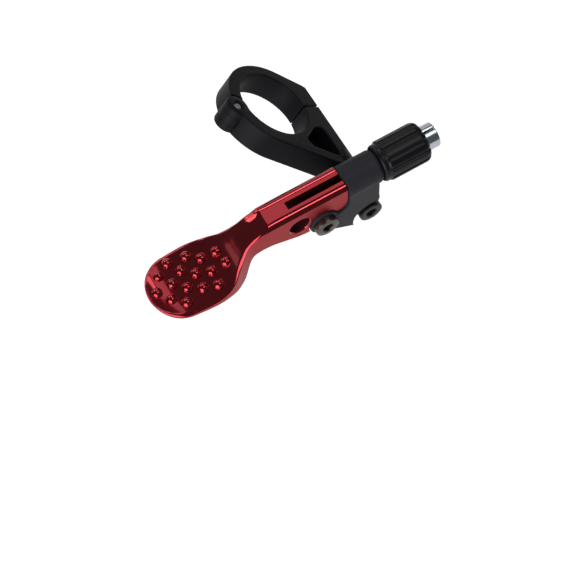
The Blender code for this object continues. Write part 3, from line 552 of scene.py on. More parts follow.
RED = red_anodised()
# Dark dull red for the faces inside the cable slot and the cross hole: the dullness is their milled finish, the
# dark colour is painted shade.
RED_PAINTED_SHADE = finish("red_anodised_painted_shade", (0.045, 0.006, 0.009), 0.55, 0.0, 0.1, 0.1, 0.05, specular=0.1)
BLACK = finish("black_anodised", (0.01, 0.01, 0.0135), 0.46, 0.0, 0.12, 0.08, 0.1, specular=0.15)
BLACK_BODY = finish("black_anodised_body", (0.04, 0.04, 0.049), 0.44, 0.0, 0.1, 0.06, 0.08, specular=0.1)
BLACK_KNOB = finish("black_knob", (0.0075, 0.0075, 0.01), 0.34, 0.0, 0.14, 0.08, 0.12, specular=0.28)
BRIGHT = finish("bright_steel", (0.62, 0.66, 0.72), 0.13, 1.0, 0.04, 0.04, 0.01)
# Darker, duller steel for the faces inside the barrel's cup: painted shade for the hollow.
STEEL_PAINTED_SHADE = finish("steel_painted_shade", (0.10, 0.115, 0.13), 0.45, 0.8, 0.06, 0.06, 0.02)
GREY_STEEL = finish("grey_steel", (0.13, 0.115, 0.108), 0.30, 1.0, 0.08, 0.08, 0.04)
PIN_STEEL = finish("pin_steel", (0.46, 0.42, 0.41), 0.42, 1.0, 0.08, 0.08, 0.04)
BLACK_STEEL = finish("black_steel", (0.028, 0.028, 0.030), 0.38, 0.6, 0.12, 0.10, 0.06)
BRASS = finish("brass", (0.66, 0.46, 0.18), 0.28, 1.0, 0.06, 0.08, 0.02)
RUBBER = finish("rubber", (0.016, 0.016, 0.016), 0.75, 0.0, 0.2, 0.1, 0.2)

# The solids' own materials, by the name that the part gives them
CAD_FINISH = {
    "red_anodised": RED, "black_anodised": BLACK, "black_knob": BLACK_KNOB, "bright_steel": BRIGHT,
    "grey_steel": GREY_STEEL, "black_steel": BLACK_STEEL, "brass": BRASS, "rubber": RUBBER,
}
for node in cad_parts.values():
    for slot in node.material_slots:
        slot.material = CAD_FINISH[slot.material.name.split(".")[0]]


# Bar clamp
def make_clamp_arm():
    """The lower half of the ring, the arm with its pocket and boss, and the hinge's outer knuckles."""
    low = SPLIT_HEIGHT - ARM_SPLIT_ROOM
    inner = angle_on(BAR_RADIUS, low)
    tangent = 270.0 - math.degrees(ARM_SLANT)
    touch = arc((0.0, 0.0), ARM_RADIUS, tangent, tangent, 1)[0]
    boss_left = MOUNT_REACH - MOUNT_BOSS_RADIUS
    slant_low = touch[1] - (boss_left - touch[0]) * math.tan(ARM_SLANT)
    loop = arc((0.0, 0.0), BAR_RADIUS, 180.0, 360.0 + inner, 110)
    loop += [(LUG_REACH, low), (LUG_REACH, slant_low), (boss_left, slant_low)]
    loop += arc((0.0, 0.0), ARM_RADIUS, tangent, 180.0, 48)
    arm = plate("arm", loop, -RING_HALF, RING_HALF, CLAMP, EDGE)
    end = BODY_HALF_WIDTH + SEAT_GAP - ARM_DROP
    boss = rod("boss", MOUNT_BOSS_RADIUS, end, slant_low + MOUNT_BOSS_RADIUS, BOSS, steps=96)
    rim, face, bend = KNUCKLE_RADIUS, RING_HALF + KNUCKLE_PROUD, 0.15 * MM
    round_end = [(rim, face - KNUCKLE_ROUND), (rim - bend, face - bend)]
    round_end += [(rim - KNUCKLE_ROUND, face), (0.0, face)]
    knuckle_profile = [(r, -h) for r, h in reversed(round_end)] + round_end
    join(arm, boss, turned("knuckles", knuckle_profile, HINGE, 72, close=False))
    half = KNUCKLE_WIDTH / 2 + SEAT_GAP
    room = rod("room", KNUCKLE_RADIUS + 3 * SEAT_GAP, -half, half, HINGE, steps=72)
    bore = rod("bore", BAR_RADIUS, -THROUGH, THROUGH, CLAMP, steps=240)
    sink = turned("sink", ring_sink(HINGE_PIN_RADIUS + RUN_GAP, RING_HALF), HINGE, 48)
    thread = rod("thread", THREAD_RADIUS + RUN_GAP, POCKET_TOP - MM, 0.0, CLAMP_SCREW)
    mount_thread = rod("mount_thread", THREAD_RADIUS + RUN_GAP, end - MM, end + MOUNT_HOLE_DEPTH, BOSS)
    cut(arm, bore, room, sink, pocket(), thread, mount_thread)
    piece(arm, "clamp_arm_fine", "clamp", BLACK, "clamp_arm")


def ring_sink(radius, half, lip=0.45 * MM):
    """The profile of a through hole with both mouths broken."""
    mouth = [(radius, half - lip), (radius + lip, half), (radius + lip + MM, half + MM), (0.0, half + MM)]
    return [(r, -height) for r, height in reversed(mouth)] + mouth


def pocket():
    """The rounded triangle between the ring, the arm's outer face and its slanted lower edge."""
    outline = rounded_outline(POCKET_CORNERS)
    floor, mouth = POCKET_FLOOR - RING_HALF, RING_HALF - EDGE
    levels = [(floor + up, out) for up, out in POCKET_FILLET] + [(mouth, 0.0)]
    for turn in (30, 60, 85):
        a = math.radians(turn)
        levels.append((mouth + EDGE * math.sin(a), EDGE * (1 - math.cos(a))))
    levels.append((RING_HALF + MM, EDGE + MM))
    loops = [[(x, y, height) for x, y in offset_outline(outline, out)] for height, out in levels]
    return lofted("pocket", loops, CLAMP)


def rounded_outline(corners, steps=8):
    """The outline through (x, y, reach) corners, each rounded over its reach, in millimetres."""
    done = []
    count = len(corners)
    for i, (x, y, reach) in enumerate(corners):
        here = Vector((x, y))
        before, after = Vector(corners[i - 1][:2]), Vector(corners[(i + 1) % count][:2])
        start = here + (before - here).normalized() * reach
        end = here + (after - here).normalized() * reach
        for j in range(steps + 1):
            t = j / steps
            done.append(tuple(((1 - t) ** 2 * start + 2 * t * (1 - t) * here + t**2 * end) * MM))
    return done


def offset_outline(outline, out):
    """A clockwise outline moved outwards by a small distance."""
    done = []
    for i, (x, y) in enumerate(outline):
        before, after = Vector(outline[i - 1]), Vector(outline[(i + 1) % len(outline)])
        along = (after - before).normalized()
        done.append((x - along.y * out, y + along.x * out))
    return done


def make_clamp_cap():
    """The upper half of the ring, the hinge's middle knuckle and the lug that the clamp screw pulls down."""
    low = SPLIT_HEIGHT + CAP_SPLIT_ROOM
    inner = angle_on(BAR_RADIUS, low)
    leave = 90.0 - math.degrees(LUG_SLOPE)
    start = arc((0.0, 0.0), CAP_RADIUS, leave, leave, 1)[0]
    corner_x = start[0] + (start[1] - LUG_CORNER) / math.tan(LUG_SLOPE)
    loop = arc((0.0, 0.0), CAP_RADIUS, 180.0, leave, 90)
    loop += [(corner_x, LUG_CORNER), (LUG_REACH, LUG_CORNER - LUG_BEVEL), (LUG_REACH, low)]
    loop += arc((0.0, 0.0), BAR_RADIUS, inner, 180.0, 110)
    cap = plate("cap", loop, -RING_HALF, RING_HALF, CLAMP, EDGE)
    rooms = [
        rod("room", KNUCKLE_RADIUS + 3 * SEAT_GAP, min(a, b), max(a, b), HINGE, steps=72)
        for a, b in ((KNUCKLE_WIDTH / 2, THROUGH), (-KNUCKLE_WIDTH / 2, -THROUGH))
    ]
    cut(cap, *rooms)
    join(cap, rod("knuckle", KNUCKLE_RADIUS, -KNUCKLE_WIDTH / 2, KNUCKLE_WIDTH / 2, HINGE, steps=72))
    bore = rod("bore", BAR_RADIUS, -THROUGH, THROUGH, CLAMP, steps=240)
    pin_hole = rod("pin_hole", HINGE_PIN_RADIUS + RUN_GAP, -THROUGH, THROUGH, HINGE, steps=48)
    hole = rod("hole", THREAD_RADIUS + CAP_HOLE_ROOM, -MM + low, CLAMP_SEAT_HEIGHT + MM, CLAMP_SCREW)
    seat = rod("seat", CLAMP_HEAD_RADIUS + CAP_SEAT_ROOM, CLAMP_SEAT_HEIGHT, 14 * MM, CLAMP_SCREW, steps=90)
    cut(cap, bore, pin_hole, hole, seat)
    piece(cap, "clamp_cap_fine", "cap", BLACK, "clamp_cap")


def make_hinge_pin():
    """The pin through the knuckles, a little shorter than they are wide."""
    half = RING_HALF - HINGE_PIN_RECESS
    r, c = HINGE_PIN_RADIUS, 0.3 * MM
    ends = [(0.0, half), (r - c, half), (r, half - c)]
    profile = ends + [(x, -z) for x, z in reversed(ends)]
    pin = turned("pin", profile, HINGE, 48)
    piece(pin, "clamp_hinge_pin_fine", "clamp", PIN_STEEL, "clamp_hinge_pin")


def key_mouth(top, outer, inner, place):
    """The cutter that breaks the edge of a hexagon socket."""
    low = top - 0.35 * MM
    return turned("mouth", [(0.0, top + MM), (outer, top + MM), (inner, low), (0.0, low)], place, 48)


def socket_screw(name, body, seat, head_radius, head_height, tip, place, material, node):
    """A socket head screw with a broken key mouth and a cut thread."""
    top = seat + head_height
    c = 0.3 * MM
    root = THREAD_RADIUS - THREAD_DEPTH
    profile = [(0.0, top), (head_radius - c, top), (head_radius - 0.1 * MM, top - 0.09 * MM)]
    profile += [(head_radius, top - c), (head_radius, seat + 0.12 * MM), (head_radius - 0.12 * MM, seat)]
    profile += [(THREAD_RADIUS + 0.05 * MM, seat), (THREAD_RADIUS, seat - 0.1 * MM)]
    turns = int((seat - tip - 1.6 * MM) / THREAD_PITCH)
    for i in range(turns):
        crest = seat - 0.9 * MM - i * THREAD_PITCH
        profile += [(THREAD_RADIUS, crest), (root, crest - 0.3 * MM), (root, crest - 0.4 * MM)]
    profile += [(THREAD_RADIUS, tip + 0.5 * MM), (THREAD_RADIUS - 0.4 * MM, tip), (0.0, tip)]
    screw = turned(name, profile, place, 72)
    key = hex_key("key", top - 1.6 * MM, top + MM, place)
    drill = [(0.0, top - MM), (1.3 * MM, top - MM), (1.3 * MM, top - 1.7 * MM), (0.0, top - 2.3 * MM)]
    mouth = key_mouth(top, 2.9 * MM, 1.55 * MM, place)
    cut(screw, key, mouth, turned("drill", drill, place, 48))
    piece(screw, name, body, material, node)


# Lever body and its screws
def body_side_loop():
    """The body's side, from the pivot boss over the shoulder to the block's end and round the mount lug."""
    gap = 3 * SEAT_GAP
    shoulder = BLADE_END + gap
    corner = (BLADE_END - EAR_CORNER, EAR_BOTTOM + EAR_CORNER)
    ledge = EAR_BOTTOM - gap
    lug = (MOUNT_FROM_PIVOT.x, MOUNT_FROM_PIVOT.z)
    lower = math.degrees(math.atan2(lug[1], lug[0])) - 90.0
    lug_top = math.degrees(math.acos((BLOCK_END - lug[0]) / MOUNT_LUG_RADIUS))
    loop = arc((0.0, 0.0), PIVOT_BOSS_RADIUS, 360.0 + lower, angle_on(PIVOT_BOSS_RADIUS, ledge), 72)
    loop += arc(corner, EAR_CORNER + gap, 270.0, 360.0, 20)
    loop += [(shoulder, CABLE_HEIGHT), (BLOCK_END, CABLE_HEIGHT)]
    loop += arc(lug, MOUNT_LUG_RADIUS, lug_top, lower, 60)
    return loop


def make_lever_body():
    """The block with its cheeks and mount lug, and the tube that the cable runs through."""
    body = plate("body", body_side_loop(), -BODY_HALF_WIDTH, BODY_HALF_WIDTH, SIDE, EDGE)
    start = BLADE_END + 3 * SEAT_GAP
    r, neck = TUBE_RADIUS, NECK_RADIUS
    knob_seat = KNOB_START - 2 * SEAT_GAP
    groove, groove_end = KNOB_START + 0.8 * MM, KNOB_START + 0.8 * MM + 0.9 * MM
    ring, ring_end = NECK_END - 1.2 * MM, NECK_END - 1.2 * MM + 0.7 * MM
    deep, shallow = neck - 0.6 * MM, neck - 0.45 * MM
    e = EDGE
    profile = [(0.0, start), (r - e, start), (r - 0.3 * e, start + 0.3 * e), (r, start + e)]
    profile += [(r, BODY_END - e), (r - 0.3 * e, BODY_END - 0.3 * e), (r - e, BODY_END)]
    profile += [(NECK_FLANGE_RADIUS, BODY_END), (NECK_FLANGE_RADIUS, knob_seat), (neck, knob_seat)]
    profile += [(neck, groove), (deep, groove), (deep, groove_end), (neck, groove_end)]
    profile += [(neck, ring), (shallow, ring), (shallow, ring_end), (neck, ring_end)]
    profile += [(neck, NECK_END), (0.0, NECK_END)]
    join(body, turned("tube", profile, ADJUSTER, 128))
    step, wide = BARREL_SHANK_START - 0.3 * MM, BARREL_SHANK_RADIUS + RUN_GAP
    bore = [(0.0, 30 * MM), (wide, 30 * MM), (wide, step)]
    bore += [(CABLE_BORE_RADIUS, step), (CABLE_BORE_RADIUS, 0.0), (0.0, 0.0)]
    cable = turned("cable_bore", bore, ADJUSTER, 48)
    spot = rod("spot", SPOT_FACE_RADIUS, MOUNT_HEAD_SEAT, 10 * MM, MOUNT_SIDE, steps=120)
    hole = rod("hole", CLEAR_RADIUS, -10 * MM, 10 * MM, MOUNT_SIDE)
    room = block("room", (-8 * MM, -8 * MM, -CHEEK_GAP), (TONGUE_RADIUS + MM, 6 * MM, CHEEK_GAP), SIDE)
    pivot_hole = rod("pivot_hole", THREAD_RADIUS + RUN_GAP, -THROUGH, THROUGH, SIDE)
    key_hole = rod("key_hole", 0.5 * MM + RUN_GAP, 0.0, 5 * MM, KEY_AXIS, steps=24)
    cut(body, spot, hole, room, pivot_hole, cable, key_hole)
    piece(body, "lever_body_fine", "body", BLACK_BODY, "lever_body")


def make_pivot():
    """The socket bolt that the lever turns on, and its nut."""
    seat = BODY_HALF_WIDTH + SEAT_GAP
    top = seat + PIVOT_HEAD_HEIGHT
    r, c, head = THREAD_RADIUS, 0.4 * MM, PIVOT_HEAD_RADIUS
    nut_seat = -BODY_HALF_WIDTH - SEAT_GAP
    tip = nut_seat - NUT_HEIGHT - 0.5 * MM
    profile = [(0.0, top), (head - c, top), (head - 0.12 * MM, top - 0.12 * MM), (head, top - c)]
    profile += [(head, seat), (r, seat), (r, tip + c), (r - c, tip), (0.0, tip)]
    bolt = turned("bolt", profile, SIDE, 96)
    key = hex_key("key", top - 1.5 * MM, top + MM, SIDE)
    cut(bolt, key, key_mouth(top, 2.95 * MM, 1.6 * MM, SIDE))
    piece(bolt, "pivot_bolt_fine", "body", GREY_STEEL, "pivot_bolt")

    corner = NUT_FLATS / math.sqrt(3)
    far = nut_seat - NUT_HEIGHT
    nut = rod("nut", corner, far, nut_seat, SIDE, steps=6)
    chamfer = [(0.0, nut_seat + MM), (corner + MM, nut_seat + MM), (corner + MM, far + 0.75 * MM)]
    chamfer += [(corner - 0.55 * MM, far - 0.02 * MM), (0.0, far - 0.02 * MM)]
    combined(nut, "INTERSECT", turned("dome", chamfer, SIDE, 96))
    cut(nut, rod("hole", r + RUN_GAP, nut_seat - 5 * MM, nut_seat + MM, SIDE, steps=48))
    piece(nut, "pivot_nut_fine", "body", GREY_STEEL, "pivot_nut")


# Lever blade
def smooth_step(x, low, high):
    """From 0 at low to 1 at high, level at both ends."""
    t = min(max((x - low) / (high - low), 0.0), 1.0)
    return t * t * (3 - 2 * t)


def through(points, x):
    """The height at x of a smooth curve through a few (x, height) points, in millimetres."""
    if x <= points[0][0]:
        return points[0][1]
    if x >= points[-1][0]:
        return points[-1][1]
    slopes = []
    for i in range(len(points)):
        a, b = points[max(i - 1, 0)], points[min(i + 1, len(points) - 1)]
        slopes.append((b[1] - a[1]) / (b[0] - a[0]))
    for (x0, y0), (x1, y1), m0, m1 in zip(points, points[1:], slopes, slopes[1:]):
        if x <= x1:
            break
    h = x1 - x0
    t = (x - x0) / h
    return (
        (2 * t**3 - 3 * t**2 + 1) * y0 + (t**3 - 2 * t**2 + t) * h * m0
        + (3 * t**2 - 2 * t**3) * y1 + (t**3 - t**2) * h * m1
    )


# The blade's lines: pairs of x and height, half width or edge rounding, in millimetres from the pivot
TIP, TOP, SIDE_HALF = PADDLE_TIP / MM, BLADE_TOP / MM, BLADE_HALF_WIDTH / MM
FACE_LINE = [
    (TIP, 0.3), (-48.0, -0.6), (-42.0, -0.9), (-35.0, -0.8), (-31.5, -0.3), (-29.5, 0.8), (-28.0, 2.3),
    (-26.0, 4.7), (-24.0, 7.0), (-22.0, 8.6), (-20.0, 9.85), (-18.0, TOP - 0.4), (-16.0, TOP), (8.0, TOP),
]
BOTTOM_LINE = [
    (TIP, -0.9), (-48.0, -2.0), (-44.0, -2.4), (-40.0, -2.9), (-36.0, -3.5), (-33.0, -4.3), (-31.0, -5.2),
    (-29.0, -6.3), (-28.0, -6.9), (-27.0, -7.3), (-26.0, -7.1), (-25.0, -6.0), (-24.0, -3.6), (-23.0, -1.2),
    (-22.0, 0.2), (-21.0, 0.9), (-19.0, 1.4), (-17.0, 1.35), (-15.0, 0.95), (-11.0, -0.5), (-8.0, -1.6),
    (-5.5, NECK_BOTTOM / MM),
]
WIDTH_LINE = [
    (-43.0, 9.85), (-38.0, 10.1), (-35.0, 9.95), (-32.4, 9.45), (-29.8, 8.4), (-28.0, 7.2), (-27.0, 6.45),
    (-26.0, 5.85), (-25.0, 5.3), (-24.0, 4.8), (-22.5, SIDE_HALF + 0.15), (-21.0, SIDE_HALF),
    (8.0, SIDE_HALF),
]
EDGE_SPAN = [
    (-31.0, 0.9), (-29.0, 1.1), (-27.0, 1.6), (-25.0, 1.5), (-23.0, 1.0), (-20.0, 1.0), (-16.0, 1.9),
    (-14.0, SHOULDER_SPAN / MM),
]
EDGE_DROP = [(-31.0, 0.9), (-28.0, 1.1), (-25.0, 1.0), (-14.0, SHOULDER_DROP / MM)]
TIP_ROUND = 9.2
PADDLE_STATIONS = 66
CREASE = [-16.6, -16.4, -16.2, -16.08, -16.0, -15.9, -15.7, -15.2, -14.5, -13.8]
NECK = [-13.0, -12.0, -11.0, -10.0, -9.0, -8.0, -7.0, -6.5, -6.0, -5.5, -0.05, 0.05]
ACROSS = 14  # steps from the middle line to a shoulder


def dish_at(x):
    """How deep the paddle's face is hollowed in its middle."""
    return (PADDLE_DISH / MM) * smooth_step(x, TIP, TIP + 4) * (1 - smooth_step(x, -33.0, -22.0))


def crown_at(x):
    """How far the upper face falls from its middle to the far shoulder, over the neck."""
    return NECK_CROWN * smooth_step(x, -29.0, -23.0) * (1 - smooth_step(x, -18.2, -15.9))


def blade_section(x):
    """The blade's outline across its length, at x in millimetres: a loop of (y, z) in millimetres."""
    top = through(FACE_LINE, x)
    if x < 0.0:
        bottom = through(BOTTOM_LINE, x)
    else:
        bottom = EAR_BOTTOM / MM
        over = x - (BLADE_END - EAR_CORNER) / MM
        if over > 0.0:
            bottom += (EAR_CORNER / MM) - math.sqrt(max((EAR_CORNER / MM) ** 2 - over**2, 0.0))
    half = through(WIDTH_LINE, x)
    if x < TIP + TIP_ROUND:
        half *= math.sqrt(max(1 - (1 - (x - TIP) / TIP_ROUND) ** 2, 0.0))
    paddle = 1 - smooth_step(x, -31.0, -15.0)
    span = min(through(EDGE_SPAN, x), half * 0.6)
    drop = min(through(EDGE_DROP, x), span, (top - bottom) * 0.6)
    radius = (span**2 + drop**2) / (2 * drop)
    turn = math.asin(min(span / radius, 1.0))
    under = min(0.5 + 0.9 * paddle, (top - bottom) * 0.35, half * 0.5)
    flat = half - span

    def one_side(crown):
        """Half of the section, from the middle of the face round to the middle of the underside."""
        side = []
        for i in range(ACROSS + 1):
            out = (i / ACROSS) ** 2
            side.append((flat * i / ACROSS, top - dish_at(x) * (1 - out) - crown * out))
        for i in range(1, 11):
            a = turn * i / 10
            side.append((flat + radius * math.sin(a), top - crown - radius * (1 - math.cos(a))))
        for i in range(9):
            a = math.radians(90 * i / 8)
            side.append((half - under * (1 - math.cos(a)), bottom + under * (1 - math.sin(a))))
        return side + [((half - under) * 0.66, bottom), ((half - under) * 0.33, bottom), (0.0, bottom)]

    far, near = one_side(crown_at(x)), one_side(0.0)
    return far + [(-y, z) for y, z in reversed(near[1:-1])]


def blade_stations():
    """Where the blade's sections stand along its length, closest at the tip and at the crease."""
    end, corner, ease = BLADE_END / MM, EAR_CORNER / MM, 22
    start = TIP + TIP_ROUND
    places = [TIP + TIP_ROUND * (1 - math.cos(math.pi / 2 * (i + 0.4) / ease)) for i in range(ease)]
    places += [start + i * (-16.8 - TIP - TIP_ROUND) / PADDLE_STATIONS for i in range(PADDLE_STATIONS + 1)]
    places += [*CREASE, *NECK, end - corner - 0.01]
    places += [end - corner + corner * math.sin(math.pi / 2 * i / 14) for i in range(1, 14)]
    places.append(end)
    return places


def make_lever_blade():
    """The blade as one skin over its sections, with tongue and domes, cut for the cable and the bushes."""
    sections = [[(x * MM, z * MM, -y * MM) for y, z in blade_section(x)] for x in blade_stations()]
    blade = lofted("blade", sections, SIDE)
    wide = 20 * MM
    cheeks = [
        rod("cheek_room", PIVOT_BOSS_RADIUS + 3 * SEAT_GAP, min(a, b), max(a, b), SIDE, steps=120)
        for a, b in ((TONGUE_HALF, wide), (-TONGUE_HALF, -wide))
    ]
    cut(blade, *cheeks)
    join(blade, rod("tongue", TONGUE_RADIUS, -TONGUE_HALF, TONGUE_HALF, SIDE, steps=96), *domes())
    start = BLADE_END - SLOT_LENGTH
    slot = cable_slot(start)
    hole_place = SIDE @ Matrix.Translation((HEAD_HOLE_PLACE[0], HEAD_HOLE_PLACE[1], 0.0))
    hole = turned("hole", ring_sink(HEAD_HOLE_RADIUS, BLADE_HALF_WIDTH, 0.3 * MM), hole_place, 72)
    bush = rod("bush", BUSH_HOLE_RADIUS, -wide, wide, SIDE)
    cut(blade, slot, hole, bush)
    piece(blade, "lever_blade_fine", "lever", RED, "lever_blade", smooth=30.0)
    shade_inside(blade, start)


def cable_slot(start):
    """The cutter that leaves the slot, its near edge broken flat and its far edge broken steeply."""
    half, end = SLOT_WIDTH / 2, BLADE_END + MM
    steep = SLOT_FAR_LIP / SLOT_FAR_LIP_DEPTH
    flat = SLOT_NEAR_LIP / SLOT_NEAR_LIP_DEPTH
    loops = []
    for depth in (BLADE_TOP - SLOT_FLOOR, SLOT_FAR_LIP_DEPTH, SLOT_NEAR_LIP_DEPTH, 0.0, -MM):
        near = half + max(SLOT_NEAR_LIP_DEPTH - depth, 0.0) * flat
        far = half + max(SLOT_FAR_LIP_DEPTH - depth, 0.0) * steep
        back = start - max(SLOT_NEAR_LIP_DEPTH - depth, 0.0) * flat
        z = BLADE_TOP - depth
        loops.append([(back, -near, z), (end, -near, z), (end, far, z), (back, far, z)])
    return lofted("slot", loops, SIDE @ Matrix.Rotation(-math.pi / 2, 4, "X"))


def shade_inside(blade, start):
    """The milled slot and the cross hole get a dull finish inside, and a dark colour there that is painted
    shade.
    """
    blade.data.materials.append(RED_PAINTED_SHADE)
    back = SIDE.inverted()
    slack = 0.02 * MM
    for face in blade.data.polygons:
        x, y, z = back @ face.center
        in_slot = abs(z) < SLOT_WIDTH / 2 + slack and start - slack < x
        below_lips = SLOT_FLOOR - slack < y < BLADE_TOP - SLOT_NEAR_LIP_DEPTH
        across = math.hypot(x - HEAD_HOLE_PLACE[0], y - HEAD_HOLE_PLACE[1])
        in_hole = across < HEAD_HOLE_RADIUS + slack and abs(z) < BLADE_HALF_WIDTH - 0.29 * MM
        if (in_slot and below_lips) or in_hole:
            face.material_index = 1


def domes():
    """The paddle's domes in curved rows, each cut flat under its face so that none comes through the tip."""
    made = []
    for row, (count, middle) in enumerate(DOME_ROWS):
        radius = DOME_FIRST_ROW + row * DOME_ROW_PITCH
        for i in range(count):
            turn = math.radians(middle) + (i - (count - 1) / 2) * DOME_PITCH / radius
            x = DOME_CENTRE[0] + radius * math.cos(turn)
            y = DOME_CENTRE[1] + radius * math.sin(turn)
            face = through(FACE_LINE, x / MM) * MM - dish_at(x / MM) * MM * (1 - (y / (9 * MM)) ** 2)
            centre = Matrix.Translation((x, face + DOME_HEIGHT - DOME_RADIUS, -y))
            spot = centre @ Matrix.Rotation(math.pi / 2, 4, "X")
            work = bmesh.new()
            bmesh.ops.create_uvsphere(work, u_segments=32, v_segments=20, radius=DOME_RADIUS, matrix=spot)
            for vert in work.verts:
                vert.co.y = max(vert.co.y, face - DOME_SINK)
            made.append(tool(f"dome_{row}_{i}", mesh_from(work, "dome"), SIDE))
    return made


# Cable adjuster
def knob_radius(along, turn):
    """The knob's outer radius at a place along its axis, in metres, and at a turn round it, in radians."""
    r = KNOB_RADIUS
    x = (along - KNOB_START) / MM
    length = (KNOB_END - KNOB_START) / MM
    collar = r - 0.45 * MM
    if x < 0.9:
        return r - 1.2 * MM + (0.75 * MM) * math.sqrt(max(1 - (1 - x / 0.9) ** 2, 0.0))
    base = collar + (r - collar) * smooth_step(x, 1.5, 2.2)
    left = length - x
    if left < 1.8:
        base -= 1.4 * MM * (1 - math.sqrt(max(1 - (1 - left / 1.8) ** 2, 0.0)))
    wave = math.cos(KNOB_FLUTES * turn)
    dip = smooth_step(wave, 0.05, 0.95)
    depth = FLUTE_DEPTH * smooth_step(x, 1.6, 2.4)
    return base - depth * dip


def make_knob():
    """The fluted knob, hollow for the body's neck and for the barrel."""
    steps = KNOB_FLUTES * 20
    bore = NECK_RADIUS + 0.15 * MM
    cup = BARREL_RADIUS + 0.12 * MM
    length = KNOB_END - KNOB_START
    shares = (0.0, 0.004, 0.012, 0.024, 0.04, 0.0616, 0.1, 0.11, 0.12, 0.13, 0.14, 0.15, 0.165)
    places = [length * share for share in shares]
    places += [length * (0.18 + 0.69 * i / 8) for i in range(9)]
    places += [length - 1.8 * MM * (1 - math.sin(math.pi / 2 * i / 9)) for i in range(10)]
    turns = [2 * math.pi * i / steps for i in range(steps)]
    work = bmesh.new()
    rings = []
    for place in places:
        along = KNOB_START + place
        rings.append([work.verts.new(round_about(knob_radius(along, turn), turn, along)) for turn in turns])
    inside = [(cup + 0.25 * MM, KNOB_END), (cup, KNOB_END - 0.25 * MM)]
    inside += [(cup, 29.5 * MM), (bore, 29.5 * MM), (bore, KNOB_START)]
    for radius, along in inside:
        rings.append([work.verts.new(round_about(radius, turn, along)) for turn in turns])
    rings.append(rings[0])
    skin(work, rings)
    knob = tool("knob", outward_mesh(work, "knob"), ADJUSTER)
    piece(knob, "adjuster_knob_fine", "knob", BLACK_KNOB, "adjuster_knob", smooth=40.0)


def split_ring(profile, gap, place, steps=120):
    """A closed (radius, height) profile turned about Z, but for a gap of even width on the side of -X."""
    work = bmesh.new()
    rings = []
    for i in range(steps + 1):
        ring = []
        for radius, height in profile:
            limit = math.pi - math.asin(gap / 2 / radius)
            turn = -limit + 2 * limit * i / steps
            ring.append(work.verts.new(round_about(radius, turn, height)))
        rings.append(ring)
    skin(work, rings)
    work.faces.new(rings[0])
    work.faces.new(list(reversed(rings[-1])))
    return tool("split_ring", outward_mesh(work, "split_ring"), place)


def put_together(target, other):
    """The two meshes as one piece, without cutting either."""
    work = bmesh.new()
    work.from_mesh(target.data)
    work.from_mesh(other.data)
    work.to_mesh(target.data)
    work.free()
    bpy.data.objects.remove(other, do_unlink=True)
    return target


def make_barrel():
    """The threaded shank with its keyway, and the split cup that takes the housing."""
    shank, cup, end = BARREL_SHANK_RADIUS, BARREL_RADIUS, BARREL_END
    c = 0.3 * MM
    wire = CABLE_BORE_RADIUS - 0.2 * MM
    inner = cup - BARREL_WALL
    floor = BARREL_CUP_START + 1.2 * MM
    profile = [(shank - c, BARREL_SHANK_START), (shank, BARREL_SHANK_START + c)]
    root = shank - BARREL_THREAD_DEPTH
    for i in range(BARREL_THREADS):
        crest = BARREL_SHANK_START + 0.6 * MM + i * BARREL_PITCH
        profile += [(shank, crest), (root, crest + 0.33 * MM), (root, crest + 0.43 * MM)]
    profile += [(shank, BARREL_CUP_START), (cup, BARREL_CUP_START), (cup, floor), (wire, floor)]
    profile += [(wire, BARREL_SHANK_START)]
    barrel = turned("barrel", profile, ADJUSTER, 96)
    key_slot = block(
        "key_slot", (-6 * MM, -0.6 * MM, BARREL_SHANK_START - MM), (-1.8 * MM, 0.6 * MM, 26.2 * MM), ADJUSTER
    )
    cut(barrel, key_slot)
    wall = [(cup, floor), (cup, end - c), (cup - 0.09 * MM, end - 0.09 * MM), (cup - c, end)]
    wall += [(inner + 0.2 * MM, end), (inner, end - 0.2 * MM), (inner, floor)]
    put_together(barrel, split_ring(wall, BARREL_SLIT, ADJUSTER))
    piece(barrel, "adjuster_barrel_fine", "barrel", BRIGHT, "adjuster_barrel")
    # The faces inside the cup take the darker steel, painted shade for the hollow.
    barrel.data.materials.append(STEEL_PAINTED_SHADE)
    back = ADJUSTER.inverted()
    for face in barrel.data.polygons:
        x, y, z = back @ face.center
        if floor - 0.1 * MM < z < end - 0.05 * MM and math.hypot(x, y) < cup - 0.32 * MM:
            face.material_index = 1


# Build
make_clamp_arm()
make_clamp_cap()
make_hinge_pin()
socket_screw(
    "clamp_screw_fine", "clamp_bolt", CLAMP_SEAT_HEIGHT + WASHER_ROOM, CLAMP_HEAD_RADIUS, CLAMP_HEAD_HEIGHT,
    SPLIT_HEIGHT - ARM_SPLIT_ROOM - CLAMP_THREAD_DEPTH, CLAMP_SCREW, BLACK_STEEL, "clamp_screw",
)
make_lever_body()
socket_screw(
    "mount_screw_fine", "clamp", MOUNT_HEAD_SEAT + WASHER_ROOM, MOUNT_HEAD_RADIUS, MOUNT_HEAD_HEIGHT,
    -BODY_HALF_WIDTH - MOUNT_THREAD_DEPTH, MOUNT_SIDE, BLACK_STEEL, "mount_screw",
)
make_pivot()
make_lever_blade()
make_knob()
make_barrel()


# Studio
FLOOR_DROP = 28 * MM  # floor below the part at rest, as room for the pressed paddle
FLOOR_GREY = (0.80, 0.80, 0.80, 1.0)
FLOOR_GLOW = 0.35  # added to the camera and in reflections
FLOOR_CAMERA_GLOW = 0.38  # added to the camera alone
ROOM_LIGHT = 0.10
WHITE = (1.0, 1.0, 1.0, 1.0)
MIDDLE = (-0.010, -0.033, 0.008)  # what the lights look at


